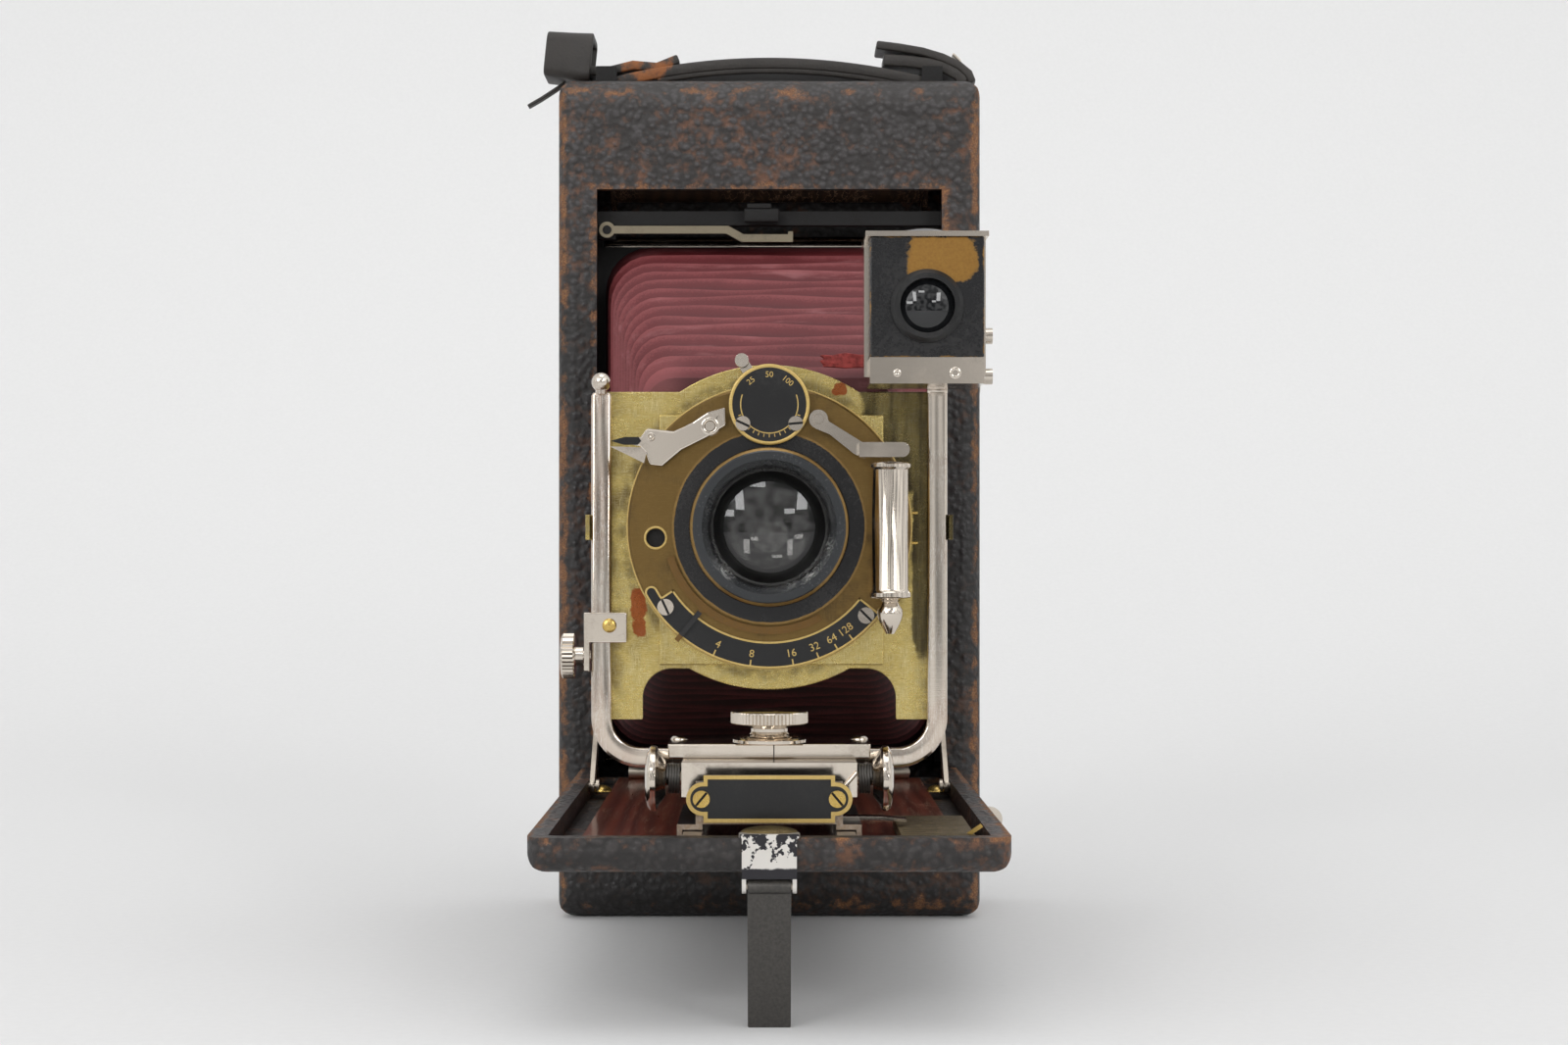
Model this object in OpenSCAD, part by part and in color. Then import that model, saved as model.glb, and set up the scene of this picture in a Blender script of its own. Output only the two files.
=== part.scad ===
// Folding bed camera for postcard roll film, drawn open and standing on its end.
// Millimetres. X to the right, Y to the rear, Z up. Origin at the centre of the body's base.

/* [Body] */
// Width of the body
body_w = 121; // [117:1:130]
// Height of the body
body_h = 241; // [236:1:256]
// Depth of the body with its back
body_d = 48; // [46:1:56]
// Thickness of the leather covered walls
wall = 3; // [2.4:0.1:3.6]
// Radius of the upright edges
side_r = 5; // [4:0.5:7]
// Radius of the edges at both ends
end_r = 9; // [7:0.5:11]
// Radius of the four corners seen from the front
corner_r = 6; // [5:0.5:7]
// Depth of the removable back
back_d = 13; // [11:0.5:15]
// Reach of the back's lip inside the case
back_lip = 3; // [2:0.5:3.5]
// Radius of the red window
window_r = 7; // [6:0.5:9]
// Width of the front opening beyond the inside of the bed
opening_play = 1; // [0.6:0.1:1.6]
// Height of the opening above the bellows
opening_over = 16.7; // [15:0.1:18]

/* [Film path] */
// Width of the picture
gate_w = 83; // [78:1:84]
// Height of the picture
gate_h = 137; // [130:1:137]
// Thickness of the gate plate
gate_t = 3; // [2:0.5:3]
// Distance from the front of the body to the gate
gate_in = 18; // [17:0.5:19]
// Height of the take-up spool's axis
spool_z = 22; // [20:0.5:23]
// Length of a spool between its outer faces
spool_len = 93; // [88:1:95]
// Radius of a spool's flanges
spool_r = 13; // [11:0.5:13.5]
// Radius of a spool's core
core_r = 5.5; // [5:0.5:7]
// Radius of the unexposed film roll
film_r = 10.5; // [8:0.5:10.5]
// Radius of a spool pin
spool_pin_r = 2.5; // [2:0.1:3]
// Radius of a film roller
roller_r = 3.2; // [2.5:0.1:3.6]
// Radius of a roller's journal
journal_r = 1.5; // [1.2:0.1:1.8]
// Width of the winding key's wings
key_w = 15; // [12:0.5:16]
// Reach of the winding key beyond the body
key_out = 8.5; // [8:0.5:10]

/* [Bed] */
// Width of the bed
bed_w = 106.6; // [104:0.2:109]
// Length of the bed
bed_len = 171.6; // [168:0.2:182]
// Thickness of the bed at its rim
bed_h = 8; // [7:0.5:9]
// Height of the bed's rim above the base
bed_top = 43.5; // [42:0.5:45]
// Width of the bed's rim
bed_rim = 4.5; // [4:0.1:5]
// Thickness of the bed's floor
bed_floor = 3; // [2.5:0.1:3.4]
// Radius of the bed's outer edges
bed_r = 5; // [3:0.5:6]
// Width of the wooden panel
panel_w = 86; // [80:1:90]
// Thickness of the wooden panel
panel_t = 2; // [1.6:0.1:2.2]
// Outer width of the track
track_w = 38.4; // [36:0.2:40]
// Radius of the hinge barrel
barrel_r = 1.8; // [1.6:0.1:2.2]
// Radius of the bed's hinge pin
hinge_pin_r = 0.9; // [0.7:0.1:1]
// Width of a brace strip
brace_w = 4; // [3.4:0.2:5]
// Thickness of a brace strip
brace_t = 1.4; // [1:0.1:1.5]
// Length of a brace between its pins
brace_len = 52; // [49:0.5:54]
// Width of the front clip
clip_w = 12; // [11:0.5:14]
// Width of the leg
leg_w = 9.6; // [8:0.1:9.8]
// Thickness of the leg
leg_t = 1.2; // [1:0.1:1.5]
// Lean of the leg from upright, in degrees
leg_lean = 16.6; // [10:0.2:22]
// Radius of the tripod thread
tripod_r = 3.1; // [3:0.05:3.2]
// Radius of a tripod bush
bush_r = 6.4; // [5.8:0.1:6.6]

/* [Standard] */
// Distance from the front of the body to the front of the U frame
standard_out = 127.5; // [126:0.5:130]
// Height of the lens axis
lens_z = 111.5; // [111:0.1:112.5]
// Outer width of the U frame
frame_w = 84; // [83:0.2:86]
// Width of the U frame's bar
bar_w = 4.75; // [4.4:0.05:5]
// Depth of the U frame's bar
bar_t = 3; // [2.6:0.1:3.2]
// Outer radius of the U frame's bends
bend_r = 12; // [10:0.5:14]
// Distance from the lens axis down to the U frame's lowest edge
frame_down = 56.7; // [56:0.1:57.5]
// Distance from the lens axis up to the leg tops
frame_up = 31.9; // [31:0.1:32.5]
// Radius of the ball on the left leg
ball_r = 2.3; // [2:0.1:2.6]
// Thickness of the lens board
board_t = 1.4; // [1.2:0.1:1.8]
// Radius of the lens board's round parts
board_r = 38.5; // [38:0.1:39.5]
// Distance from the lens axis down to the board's feet
board_down = 45.5; // [45:0.1:47]
// Width between the board's feet
arch_w = 60; // [56:0.5:62]
// Radius of the rise screw's head
rise_head_r = 5.35; // [4.5:0.05:6]

/* [Shutter] */
// Width of the shutter's base plate
plate_w = 53; // [50:0.5:54]
// Height of the shutter's base plate
plate_h = 59; // [56:0.5:60]
// Thickness of the shutter's base plate
plate_t = 2; // [1.6:0.1:2.4]
// Radius of the drum
drum_r = 33.2; // [32.8:0.1:34]
// Depth of the drum
drum_t = 9.8; // [9:0.1:11]
// Radius of the black ring round the lens
ring_r = 22.6; // [22:0.1:23]
// Radius of the lens mount
bezel_r = 18; // [17.5:0.1:19]
// Reach of the lens mount before the drum
bezel_out = 11; // [10:0.5:12]
// Radius of the front glass
glass_r = 13.6; // [13:0.1:14]
// Inner radius of the aperture scale
scale_in = 26.6; // [26.2:0.1:27.5]
// Travel of the aperture pointer, in degrees
aperture_turn = 75.9; // [60:0.1:80]
// Radius of the dial
dial_r = 9.4; // [9:0.1:10]
// Height of the dial's axis above the lens axis
dial_up = 28.3; // [28:0.1:29]
// Radius of the air cylinder
air_r = 4.2; // [3.8:0.1:4.4]
// Length of the air cylinder
air_len = 27.1; // [25:0.1:28]
// Distance from the lens axis to the air cylinder's axis
air_x = 27.8; // [27.4:0.1:28.6]
// Radius of the piston
piston_r = 3.2; // [2.8:0.1:3.2]

/* [Carriage] */
// Length of the carriage along the track
carriage_len = 43; // [42:0.5:46]
// Width of the carriage block
block_w = 40; // [38:0.5:42]
// Width of the cross bar
cross_w = 47; // [44:0.5:49]
// Height of the cross bar
cross_h = 3.4; // [3.2:0.1:4]
// Width of the blank plate
tag_w = 37; // [36:0.5:39]
// Height of the blank plate
tag_h = 10.6; // [10:0.1:11]
// Height of the plate's two ears
tag_ear_h = 7.5; // [7:0.1:8]
// Radius of a release button
button_r = 7.5; // [6.5:0.1:7.6]
// Radius of a button's rod
rod_r = 1.6; // [1.3:0.1:1.8]
// Mean radius of a button spring
spring_r = 2.9; // [2.7:0.1:3.4]
// Wire of a button spring
spring_wire = 0.6; // [0.5:0.05:0.65]
// Free space for a button spring
spring_len = 3.7; // [3.6:0.1:4.2]
// Turns of a button spring
spring_turns = 2.25; // [2:0.05:2.3]
// Radius of the shift screw's knurled head
knurl_r = 9.3; // [8:0.1:9.6]

/* [Finder] */
// Width of the finder box
finder_w = 26; // [25:0.2:26.4]
// Height of the finder box
finder_h = 27.4; // [26:0.2:29]
// Depth of the finder box
finder_d = 25; // [24:0.2:26]
// Height of the finder's tray
tray_h = 6; // [5.6:0.1:6.4]
// Distance from the finder's middle to its pivot
pivot_side = 3.8; // [3.6:0.1:5]
// Radius of the finder's pivot pin
pivot_r = 1.5; // [1.3:0.05:1.6]
// Radius of the finder's front bezel
eye_r = 8.3; // [7.8:0.1:9]
// Radius of the finder's front glass
eye_glass_r = 6.2; // [5.6:0.1:6.6]

/* [Bellows] */
// Gap beside the bellows in the opening
bellows_side = 2.8; // [2:0.1:4]
// Height of the bellows at the gate
bellows_h = 143; // [141:0.5:145]
// Width of the bellows at the lens board
bellows_front_w = 59; // [56:0.5:60]
// Height of the bellows at the lens board
bellows_front_h = 69; // [65:0.5:69]
// Number of pleats
pleats = 22; // [16:1:26]
// Depth of a pleat
pleat_depth = 2.6; // [2:0.1:3.2]

/* [Strap] */
// Width of the strap
strap_w = 15; // [12:0.5:17]
// Thickness of the strap's leather
strap_t = 3.2; // [2.4:0.1:3.6]
// Height of the strap's arch over the body
strap_rise = 5.5; // [5:0.5:8]

/* [Fits] */
// Gap between sliding flat faces
slide_gap = 0.3; // [0.25:0.05:0.35]
// Radial gap of a turning pin
pin_gap = 0.08; // [0.05:0.01:0.09]

/* [Hidden] */
$fn = 48;
y_front = -body_d / 2;
y_back = body_d / 2;
split_y = y_back - back_d;
body_mid = body_h / 2;
// Film path
gate_y = y_front + gate_in;
gate_back = gate_y + gate_t;
spool_y = gate_y + 9;
upper_spool_z = body_h - spool_z;
flange_t = 1.2;
roller_len = spool_len + 4;
roller_y = gate_back + 7.5;
roller_off = gate_h / 2 + roller_r + 3;
ear_t = 2;
ear_x = roller_len / 2 + slide_gap;
ear_r = journal_r + 2;
key_shaft_r = 2.2;
// Bed
bed_bottom = bed_top - bed_h;
floor_top = bed_bottom + bed_floor;
panel_top = floor_top + panel_t;
bed_y1 = y_front - slide_gap;
bed_y0 = bed_y1 - bed_len;
bed_in = bed_w / 2 - bed_rim;
opening_w = 2 * bed_in + opening_play;
opening_top = body_mid + bellows_h / 2 + opening_over;
bellows_w = opening_w - 2 * bellows_side;
barrel_y = y_front - barrel_r - 0.4;
barrel_z = panel_top + barrel_r;
barrel_len = 80;
knuckles = 5;
leaf_t = 0.9;
leaf_len = 13;
rail_w = 4.2;
rail_web = 2.5;
rail_h = 2.8;
rail_lip = 0.9;
rail_top = panel_top + rail_h;
brace_pin_r = 1;
brace_x = bed_in - slide_gap - brace_t;
brace_top_y = y_front + wall / 2;
brace_top_z = 75;
brace_foot_z = bed_top - 1.6;
brace_foot_y = brace_top_y - sqrt(pow(brace_len, 2) - pow(brace_top_z - brace_foot_z, 2));
pin_seat = 2.4;
clip_t = 0.9;
leg_y = bed_y0 + 2;
leg_pin_r = 0.75;
leg_barrel_r = 1.6;
leg_z = bed_bottom - clip_t - slide_gap - leg_barrel_r;
leg_len = (leg_z - leg_t / 2 * sin(leg_lean)) / cos(leg_lean);
bush_y = y_front - 92;
bush_flange = 2;
bush_step = 2.4;
side_bush_y = (y_front + side_r + gate_y) / 2;
side_bush_z = 150;
// Standard
u_y0 = y_front - standard_out;
u_y1 = u_y0 + bar_t;
frame_z0 = lens_z - frame_down;
leg_top_z = lens_z + frame_up;
frame_in = frame_w / 2 - bar_w;
board_y0 = u_y1 + slide_gap;
board_y1 = board_y0 + board_t;
board_half = frame_w / 2 - 1;
board_top = leg_top_z + 0.2;
arch_top = lens_z - 33.5;
arch_r = 7;
guide_t = 1;
guide_h = 6;
rise_z = lens_z - 30.4;
rise_pin_r = 1.4;
bracket_t = 1.3;
// Shutter
plate_y0 = board_y0 - plate_t;
drum_y0 = plate_y0 - drum_t;
throat_r = 14.2;
spigot_r = 19;
rear_glass_r = 12.4;
spigot_len = plate_t + board_t + 1;
cell_r = 16.4;
cell_seat = 3;
ring_t = 1;
scale_t = 0.6;
scale_out = drum_r - 0.4;
scale_start = 213;
scale_end = 322;
hook_r = 1.5;
hook_at = scale_start - 4;
pointer_at = 230.7;
pointer_t = 0.7;
pointer_w = 1.2;
pointer_y = drum_y0 - scale_t - slide_gap - pointer_t;
dial_z = lens_z + dial_up;
dial_hub_r = 2.6;
dial_t = 2.2;
selector_t = 1;
selector_y = drum_y0 - slide_gap - selector_t;
dial_y = selector_y - slide_gap - dial_t;
lever_t = 1;
lever_y = drum_y0 - 2.2 - lever_t;
lever_shoulder = 2.2;
lever_pin_r = 1.1;
finger_pin = [-13.7, 23.3];
release_pin = [11.4, 25];
air_y = drum_y0 - air_r - 0.8;
air_z0 = lens_z - 13.9;
air_bore = piston_r + pin_gap;
piston_len = 6;
piston_rod_r = 1.1;
// Carriage
foot_z = rail_top + slide_gap;
foot_t = 1.2;
hat_t = 1.5;
hat_w = 33;
block_z0 = foot_z + 6.4;
block_z1 = frame_z0 + 3;
slot_z = frame_z0 - slide_gap;
cross_z1 = block_z1 + cross_h;
carriage_y0 = u_y0 - 29.5;
carriage_y1 = carriage_y0 + carriage_len;
block_y0 = u_y0 - 20.5;
block_y1 = u_y1 + 7.5;
cross_y0 = u_y0 - 9.5;
cross_y1 = u_y1 + 5.5;
tag_t = 1.2;
tag_ear = 3.8;
tag_z = foot_z + 7;
tag_screw_x = tag_w / 2 - 3.3;
tag_pin_r = 0.9;
head_out = 0.7;
slot_w = 0.55;
slot_in = 0.4;
button_y = block_y0 + 4;
button_z = (block_z0 + block_z1) / 2;
button_h = 4.6;
rod_in = 8;
button_travel = 2.2;
shift_y = u_y0 - 6.5;
shift_stud_r = 2;
// Finder
pivot_x = frame_w / 2 - bar_w / 2;
pivot_z = leg_top_z + 3.2;
finder_x = pivot_x - pivot_side;
tray_z0 = pivot_z - 2.6;
finder_z0 = tray_z0 + tray_h;
finder_z1 = finder_z0 + finder_h;
finder_y1 = board_y0 - 0.8;
finder_y0 = finder_y1 - finder_d;
tray_y1 = u_y0 - 0.5;
arm_t = 1;
top_t = 1.2;
shell_t = 1.2;
top_lens_r = 10.5;
eye_z = finder_z0 + 11.6;
// Bellows
bellows_y0 = board_y1 + slide_gap;
bellows_len = gate_y - bellows_y0;
bellows_skin = 0.9;
// Strap and catch
strap_end_x = body_w / 2 - 9;
catch_y = y_front + wall + 2;
catch_t = 1.5;
catch_z = opening_top - 11;
catch_pin_x = -opening_w / 2 + 2.6;
catch_pin_r = 1.2;
strap_lift = 1.2;
latch_y = split_y - 6;
latch_z = body_mid + 42.5;
strap_arc_r = (pow(strap_end_x, 2) + pow(strap_rise, 2)) / (2 * strap_rise);
lug_x = strap_end_x - 4;
lug_pin_r = 1;

leather = "#3a3430";
nickel = "#b8b0a4";
brass = "#a4955f";
black = "#232326";
maroon = "#7d4143";
mahogany = "#593b31";
steel = "#555452";

// Rectangle with round corners, centred
module rounded(w, h, r) {
    k = max(r, 0.2);
    square([w - 2 * k, h], center = true);
    square([w, h - 2 * k], center = true);
    for (sx = [-1, 1], sy = [-1, 1])
        translate([sx * (w / 2 - k), sy * (h / 2 - k)])
            circle(k);
}

// Outline in X and Z, pushed rearwards from y0
module along_y(y0, t) {
    translate([0, y0 + t, 0])
        rotate([90, 0, 0])
            linear_extrude(t)
                children();
}

// Outline in Y and Z, pushed to the right from x0
module along_x(x0, t) {
    translate([x0, 0, 0])
        rotate([90, 0, 90])
            linear_extrude(t)
                children();
}

// Round bar along X from x0 to x1
module rod_x(x0, x1, y, z, r) {
    translate([x0, y, z])
        rotate([0, 90, 0])
            cylinder(h = x1 - x0, r = r);
}

// Round bar along Y from y0 to y1
module rod_y(y0, y1, x, z, r) {
    translate([x, y1, z])
        rotate([90, 0, 0])
            cylinder(h = y1 - y0, r = r);
}

// Turned shape about an axis along Y; the profile's height is the distance before y
module turned_y(x, y, z) {
    translate([x, y, z])
        rotate([90, 0, 0])
            rotate_extrude()
                children();
}

// Slotted screw head that stands before the plane y; the slot is turned from level
module slotted_head(y, x, z, r, turn) {
    difference() {
        rod_y(y - head_out, y, x, z, r);
        translate([x, y - head_out, z])
            rotate([0, turn, 0])
                cube([3 * r, 2 * slot_in, slot_w], center = true);
    }
}

// Box between two corners
module box(a, b) {
    translate(a)
        cube(b - a);
}

module both_sides() {
    children();
    mirror([1, 0, 0])
        children();
}

// Outer form of the body, drawn in by an inset
module body_form(inset) {
    intersection() {
        along_x(inset - body_w / 2, body_w - 2 * inset)
            translate([0, body_mid])
                rounded(body_d - 2 * inset, body_h - 2 * inset, end_r - inset);
        linear_extrude(body_h)
            rounded(body_w - 2 * inset, body_d - 2 * inset, side_r - inset);
        along_y(-body_d, 2 * body_d)
            translate([0, body_mid])
                rounded(body_w - 2 * inset, body_h - 2 * inset, corner_r - inset);
    }
}

module case_shell() {
    color(leather)
    difference() {
        intersection() {
            body_form(0);
            box([-body_w, y_front, 0], [body_w, split_y, body_h]);
        }
        body_form(wall);
        box([-opening_w / 2, y_front - 1, panel_top], [opening_w / 2, y_front + wall + 1, opening_top]);
        rod_x(0, body_w, spool_y, spool_z, key_shaft_r + pin_gap);
        rod_x(-body_w, 0, side_bush_y, side_bush_z, bush_r - bush_step);
        both_sides()
            rod_x(0, opening_w / 2 + pin_seat + slide_gap, brace_top_y, brace_top_z, brace_pin_r + pin_gap);
    }
}

module film_gate() {
    plate_half = body_w / 2 - wall;
    plate_up = roller_off - 1;
    color(black) {
        difference() {
            box([-plate_half, gate_y, body_mid - plate_up], [plate_half, gate_back, body_mid + plate_up]);
            box([-gate_w / 2, gate_y - 1, body_mid - gate_h / 2],
                [gate_w / 2, gate_back + 1, body_mid + gate_h / 2]);
        }
        for (end = [-1, 1])
            both_sides()
                roller_ear(body_mid + end * roller_off, end);
    }
}

// Ear of the gate that carries a roller's journal
module roller_ear(z, end) {
    difference() {
        union() {
            rod_x(ear_x, ear_x + ear_t, roller_y, z, ear_r);
            box([ear_x, gate_back, z - end * 0.5 - ear_r + 0.5],
                [ear_x + ear_t, roller_y, z - end * 0.5 + ear_r - 0.5]);
        }
        rod_x(ear_x - 1, ear_x + ear_t + 1, roller_y, z, journal_r + pin_gap);
    }
}

module film_roller(z) {
    color(nickel) {
        rod_x(-roller_len / 2, roller_len / 2, roller_y, z, roller_r);
        rod_x(-ear_x - ear_t, ear_x + ear_t, roller_y, z, journal_r);
    }
}

module upper_roller() {
    film_roller(body_mid + roller_off);
}

module lower_roller() {
    film_roller(body_mid - roller_off);
}

// Pin on the inside of a side wall, with the shoulder that the spool turns on
module spool_pin(z) {
    inner = body_w / 2 - wall;
    rod_x(spool_len / 2 - 5, inner, spool_y, z, spool_pin_r);
    rod_x(spool_len / 2 + slide_gap, inner, spool_y, z, spool_pin_r + 1.4);
}

module spool_pins() {
    color(nickel) {
        both_sides()
            spool_pin(upper_spool_z);
        mirror([1, 0, 0])
            spool_pin(spool_z);
    }
}

// Wooden core with two metal flanges and bored ends
module spool(z, roll_r) {
    difference() {
        union() {
            rod_x(-spool_len / 2, spool_len / 2, spool_y, z, core_r);
            rod_x(-spool_len / 2, flange_t - spool_len / 2, spool_y, z, spool_r);
            rod_x(spool_len / 2 - flange_t, spool_len / 2, spool_y, z, spool_r);
            rod_x(-spool_len / 2, spool_len / 2, spool_y, z, roll_r);
        }
        rod_x(-spool_len, spool_len, spool_y, z, spool_pin_r + pin_gap);
    }
}

module take_up_spool() {
    color(black)
        spool(spool_z, core_r + 1.5);
}

module supply_spool() {
    color(black)
        spool(upper_spool_z, film_r);
}

// Shaft through the right wall, its spool dog and the two flat wings outside
module winding_key() {
    outer = body_w / 2;
    color(nickel) {
        rod_x(spool_len / 2 + slide_gap, outer + 2.4, spool_y, spool_z, key_shaft_r);
        rod_x(spool_len / 2 - 6, spool_len / 2 + slide_gap, spool_y, spool_z, spool_pin_r);
        rod_x(outer + slide_gap, outer + 2.4, spool_y, spool_z, key_shaft_r + 2);
        translate([0, spool_y, 0])
            along_y(-0.8, 1.6)
                translate([outer + 2.4, spool_z])
                    key_wings(key_out - 2.4);
    }
}

// Two round wings of the key, seen from the front
module key_wings(reach) {
    wing_r = key_w / 4;
    translate([0, -key_shaft_r])
        square([reach - wing_r / 2, 2 * key_shaft_r]);
    for (side = [-1, 1])
        translate([reach - wing_r, side * wing_r])
            circle(wing_r);
}

module back_cover() {
    window_z = body_mid;
    lip_inset = wall + 0.2;
    color(leather)
    difference() {
        union() {
            intersection() {
                body_form(0);
                box([-body_w, split_y + slide_gap, 0], [body_w, y_back, body_h]);
            }
            intersection() {
                body_form(lip_inset);
                box([-body_w, split_y - back_lip, 0], [body_w, split_y + 2, body_h]);
            }
        }
        body_form(lip_inset + 1);
        rod_y(0, y_back + 1, 0, window_z, window_r + 0.1);
    }
}

module red_window() {
    color("#8a1f1c")
    union() {
        rod_y(y_back - wall, y_back - 0.8, 0, body_mid, window_r);
        rod_y(y_back - wall - 2, y_back - wall, 0, body_mid, window_r);
    }
}

// Sliding latch plate on the right side that holds the back
module back_catch() {
    outer = body_w / 2 + slide_gap;
    color(nickel) {
        along_x(outer, 1.6)
            translate([latch_y, latch_z])
                rounded(9, 22, 3);
        for (step = [-1, 1])
            rod_x(outer + 1.6, outer + 5.4, latch_y, latch_z + step * 6, 2.4);
    }
}

// Dark bar across the top of the opening, with the catch's block and pivot pin
module catch_bar() {
    inner = body_w / 2 - wall;
    bar_y0 = catch_y + catch_t + slide_gap;
    color(black) {
        box([-inner, bar_y0, catch_z + 1.5], [inner, bar_y0 + 4, catch_z + 5.5]);
        box([catch_pin_x - 2.4, bar_y0, catch_z - 2.4], [catch_pin_x + 2.4, bar_y0 + 4, catch_z + 5.5]);
        box([-5.9, catch_y, catch_z + 1.5], [2.5, bar_y0, catch_z + 5.2]);
        rod_y(catch_y - 0.6, bar_y0, catch_pin_x, catch_z, catch_pin_r);
    }
}

// Flat nickel spring lever with its stepped hook
module door_catch() {
    half = 1.1;
    step = 2.4;
    tip = 6.8;
    color(nickel)
    difference() {
        union() {
            along_y(catch_y, catch_t)
                polygon([[catch_pin_x, catch_z - half], [-12.4, catch_z - half],
                    [-8, catch_z - half - step], [tip, catch_z - half - step], [tip, catch_z - half + 0.6],
                    [tip - 1.4, catch_z - half + 0.6], [tip - 1.4, catch_z + half - step],
                    [-7.4, catch_z + half - step], [-11.8, catch_z + half], [catch_pin_x, catch_z + half]]);
            rod_y(catch_y, catch_y + catch_t, catch_pin_x, catch_z, 2.3);
        }
        rod_y(catch_y - 1, catch_y + 3, catch_pin_x, catch_z, catch_pin_r + pin_gap);
    }
}

// Height of the strap's lower face at a distance from its middle
function strap_z(x) = body_h + strap_lift + strap_rise - strap_arc_r + sqrt(pow(strap_arc_r, 2) - x * x);

module strap_outline() {
    centre = body_h + strap_lift + strap_rise - strap_arc_r;
    lap = body_w / 2 - 27;
    intersection() {
        translate([0, centre])
            difference() {
                circle(strap_arc_r + strap_t, $fn = 180);
                circle(strap_arc_r, $fn = 180);
            }
        translate([-strap_end_x, body_h])
            square([2 * strap_end_x, 30]);
    }
    // Lapped end that slopes over the right corner
    polygon([[lap, strap_z(lap) + strap_t - 1], [lap, strap_z(lap) + strap_t + 7.6],
        [body_w / 2 - 3, body_h + 10], [body_w / 2 + 2, body_h + 6], [body_w / 2 + 2, body_h + 0.6],
        [body_w / 2 - 1.5, body_h + 1.2], [strap_end_x, body_h + strap_lift],
        [strap_end_x - 4, strap_z(strap_end_x - 4) + 1]]);
    // Free tail that leaves the keeper on the left
    polygon([[-strap_end_x + 2, strap_z(strap_end_x - 2) + 0.4],
        [-strap_end_x + 2, strap_z(strap_end_x - 2) + strap_t],
        [-body_w / 2 - 4, body_h + 11], [-body_w / 2 - 4, body_h + 8]]);
}

module handle_strap() {
    color(black)
    difference() {
        union() {
            along_y(-strap_w / 2, strap_w)
                strap_outline();
            strap_keeper();
        }
        both_sides()
            rod_y(-strap_w, strap_w, lug_x, strap_z(lug_x) + strap_t / 2, lug_pin_r + pin_gap);
    }
}

// Leather sleeve round the strap's left end, and the tag below it
module strap_keeper() {
    left = body_w / 2 + 5.5;
    difference() {
        translate([-left, 0, body_h + 3])
            rotate([0, 6, 0])
                box([0, -strap_w / 2 - 2, 0], [13.4, strap_w / 2 + 2, 14]);
        translate([-left, 0, body_h + 3])
            rotate([0, 6, 0])
                box([-1, -strap_w / 2, 2], [15, strap_w / 2, 12]);
    }
    along_y(-2, 4)
        polygon([[-body_w / 2 + 1, body_h + 2.4], [-body_w / 2 - 11, body_h - 4.6],
            [-body_w / 2 - 11, body_h - 3.2], [-body_w / 2 + 1, body_h + 5]]);
}

// Cheeks and cross pins that hold the strap to the top
module strap_lugs() {
    color(nickel)
        both_sides() {
            for (side = [-1, 1])
                mirror([0, (1 - side) / 2, 0])
                    box([lug_x - 3, strap_w / 2 + slide_gap, body_h],
                        [lug_x + 3, strap_w / 2 + slide_gap + 1.2, strap_z(lug_x) + strap_t / 2 + 2]);
            rod_y(-strap_w / 2 - 1, strap_w / 2 + 1, lug_x, strap_z(lug_x) + strap_t / 2, lug_pin_r);
        }
}

// Threaded bush, flange upwards
module bush(stem) {
    difference() {
        union() {
            cylinder(h = stem, r = bush_r - bush_step - 0.05);
            translate([0, 0, stem])
                cylinder(h = bush_flange, r = bush_r);
        }
        translate([0, 0, -1])
            cylinder(h = stem + bush_flange + 2, r = tripod_r);
    }
}

module tripod_bushes() {
    color(nickel) {
        translate([0, bush_y, bed_bottom])
            bush(bed_floor);
        translate([-body_w / 2, side_bush_y, side_bush_z])
            rotate([0, 90, 0])
                bush(wall);
    }
}

// Leather covered drop front, open at the hinge end
module bed_tray() {
    color(leather)
    difference() {
        intersection() {
            linear_extrude(body_h) {
                translate([0, (bed_y0 + bed_y1) / 2])
                    rounded(bed_w, bed_len, bed_r);
                translate([-bed_w / 2, bed_y1 - bed_len / 2])
                    square([bed_w, bed_len / 2]);
            }
            along_y(bed_y0, bed_len)
                translate([0, bed_top])
                    rounded(bed_w, 2 * bed_h, bed_r);
            along_x(-bed_w / 2, bed_w)
                translate([bed_y1, bed_top])
                    rounded(2 * bed_len, 2 * bed_h, bed_r);
            box([-bed_w, bed_y0, bed_bottom], [bed_w, bed_y1, bed_top]);
        }
        box([-bed_in, bed_y0 + bed_rim, floor_top], [bed_in, bed_y1 + 1, bed_top + 1]);
        translate([0, bush_y, 0])
            cylinder(h = body_h, r = bush_r - bush_step);
        both_sides()
            rod_x(0, bed_in + pin_seat + slide_gap, brace_foot_y, brace_foot_z, brace_pin_r + pin_gap);
    }
}

module bed_panel() {
    color(mahogany)
    difference() {
        box([-panel_w / 2, bed_y0 + bed_rim + slide_gap, floor_top], [panel_w / 2, bed_y1, panel_top]);
        translate([0, bush_y, 0])
            cylinder(h = body_h, r = bush_r + 0.1);
    }
}

// Hinge with alternate knuckles; the outer and middle ones belong to the case
module bed_hinge() {
    pitch = barrel_len / knuckles;
    color(nickel)
        for (k = [0 : knuckles - 1])
            translate([k * pitch - barrel_len / 2, 0, 0])
                difference() {
                    union() {
                        rod_x(0, pitch - slide_gap, barrel_y, barrel_z, barrel_r);
                        if (k % 2 == 0)
                            box([0, barrel_y, panel_top],
                                [pitch - slide_gap, barrel_y + leaf_len / 2, panel_top + leaf_t]);
                        else
                            box([0, barrel_y - leaf_len, panel_top],
                                [pitch - slide_gap, barrel_y, panel_top + leaf_t]);
                    }
                    rod_x(-1, pitch + 1, barrel_y, barrel_z, hinge_pin_r + pin_gap);
                }
}

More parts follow.
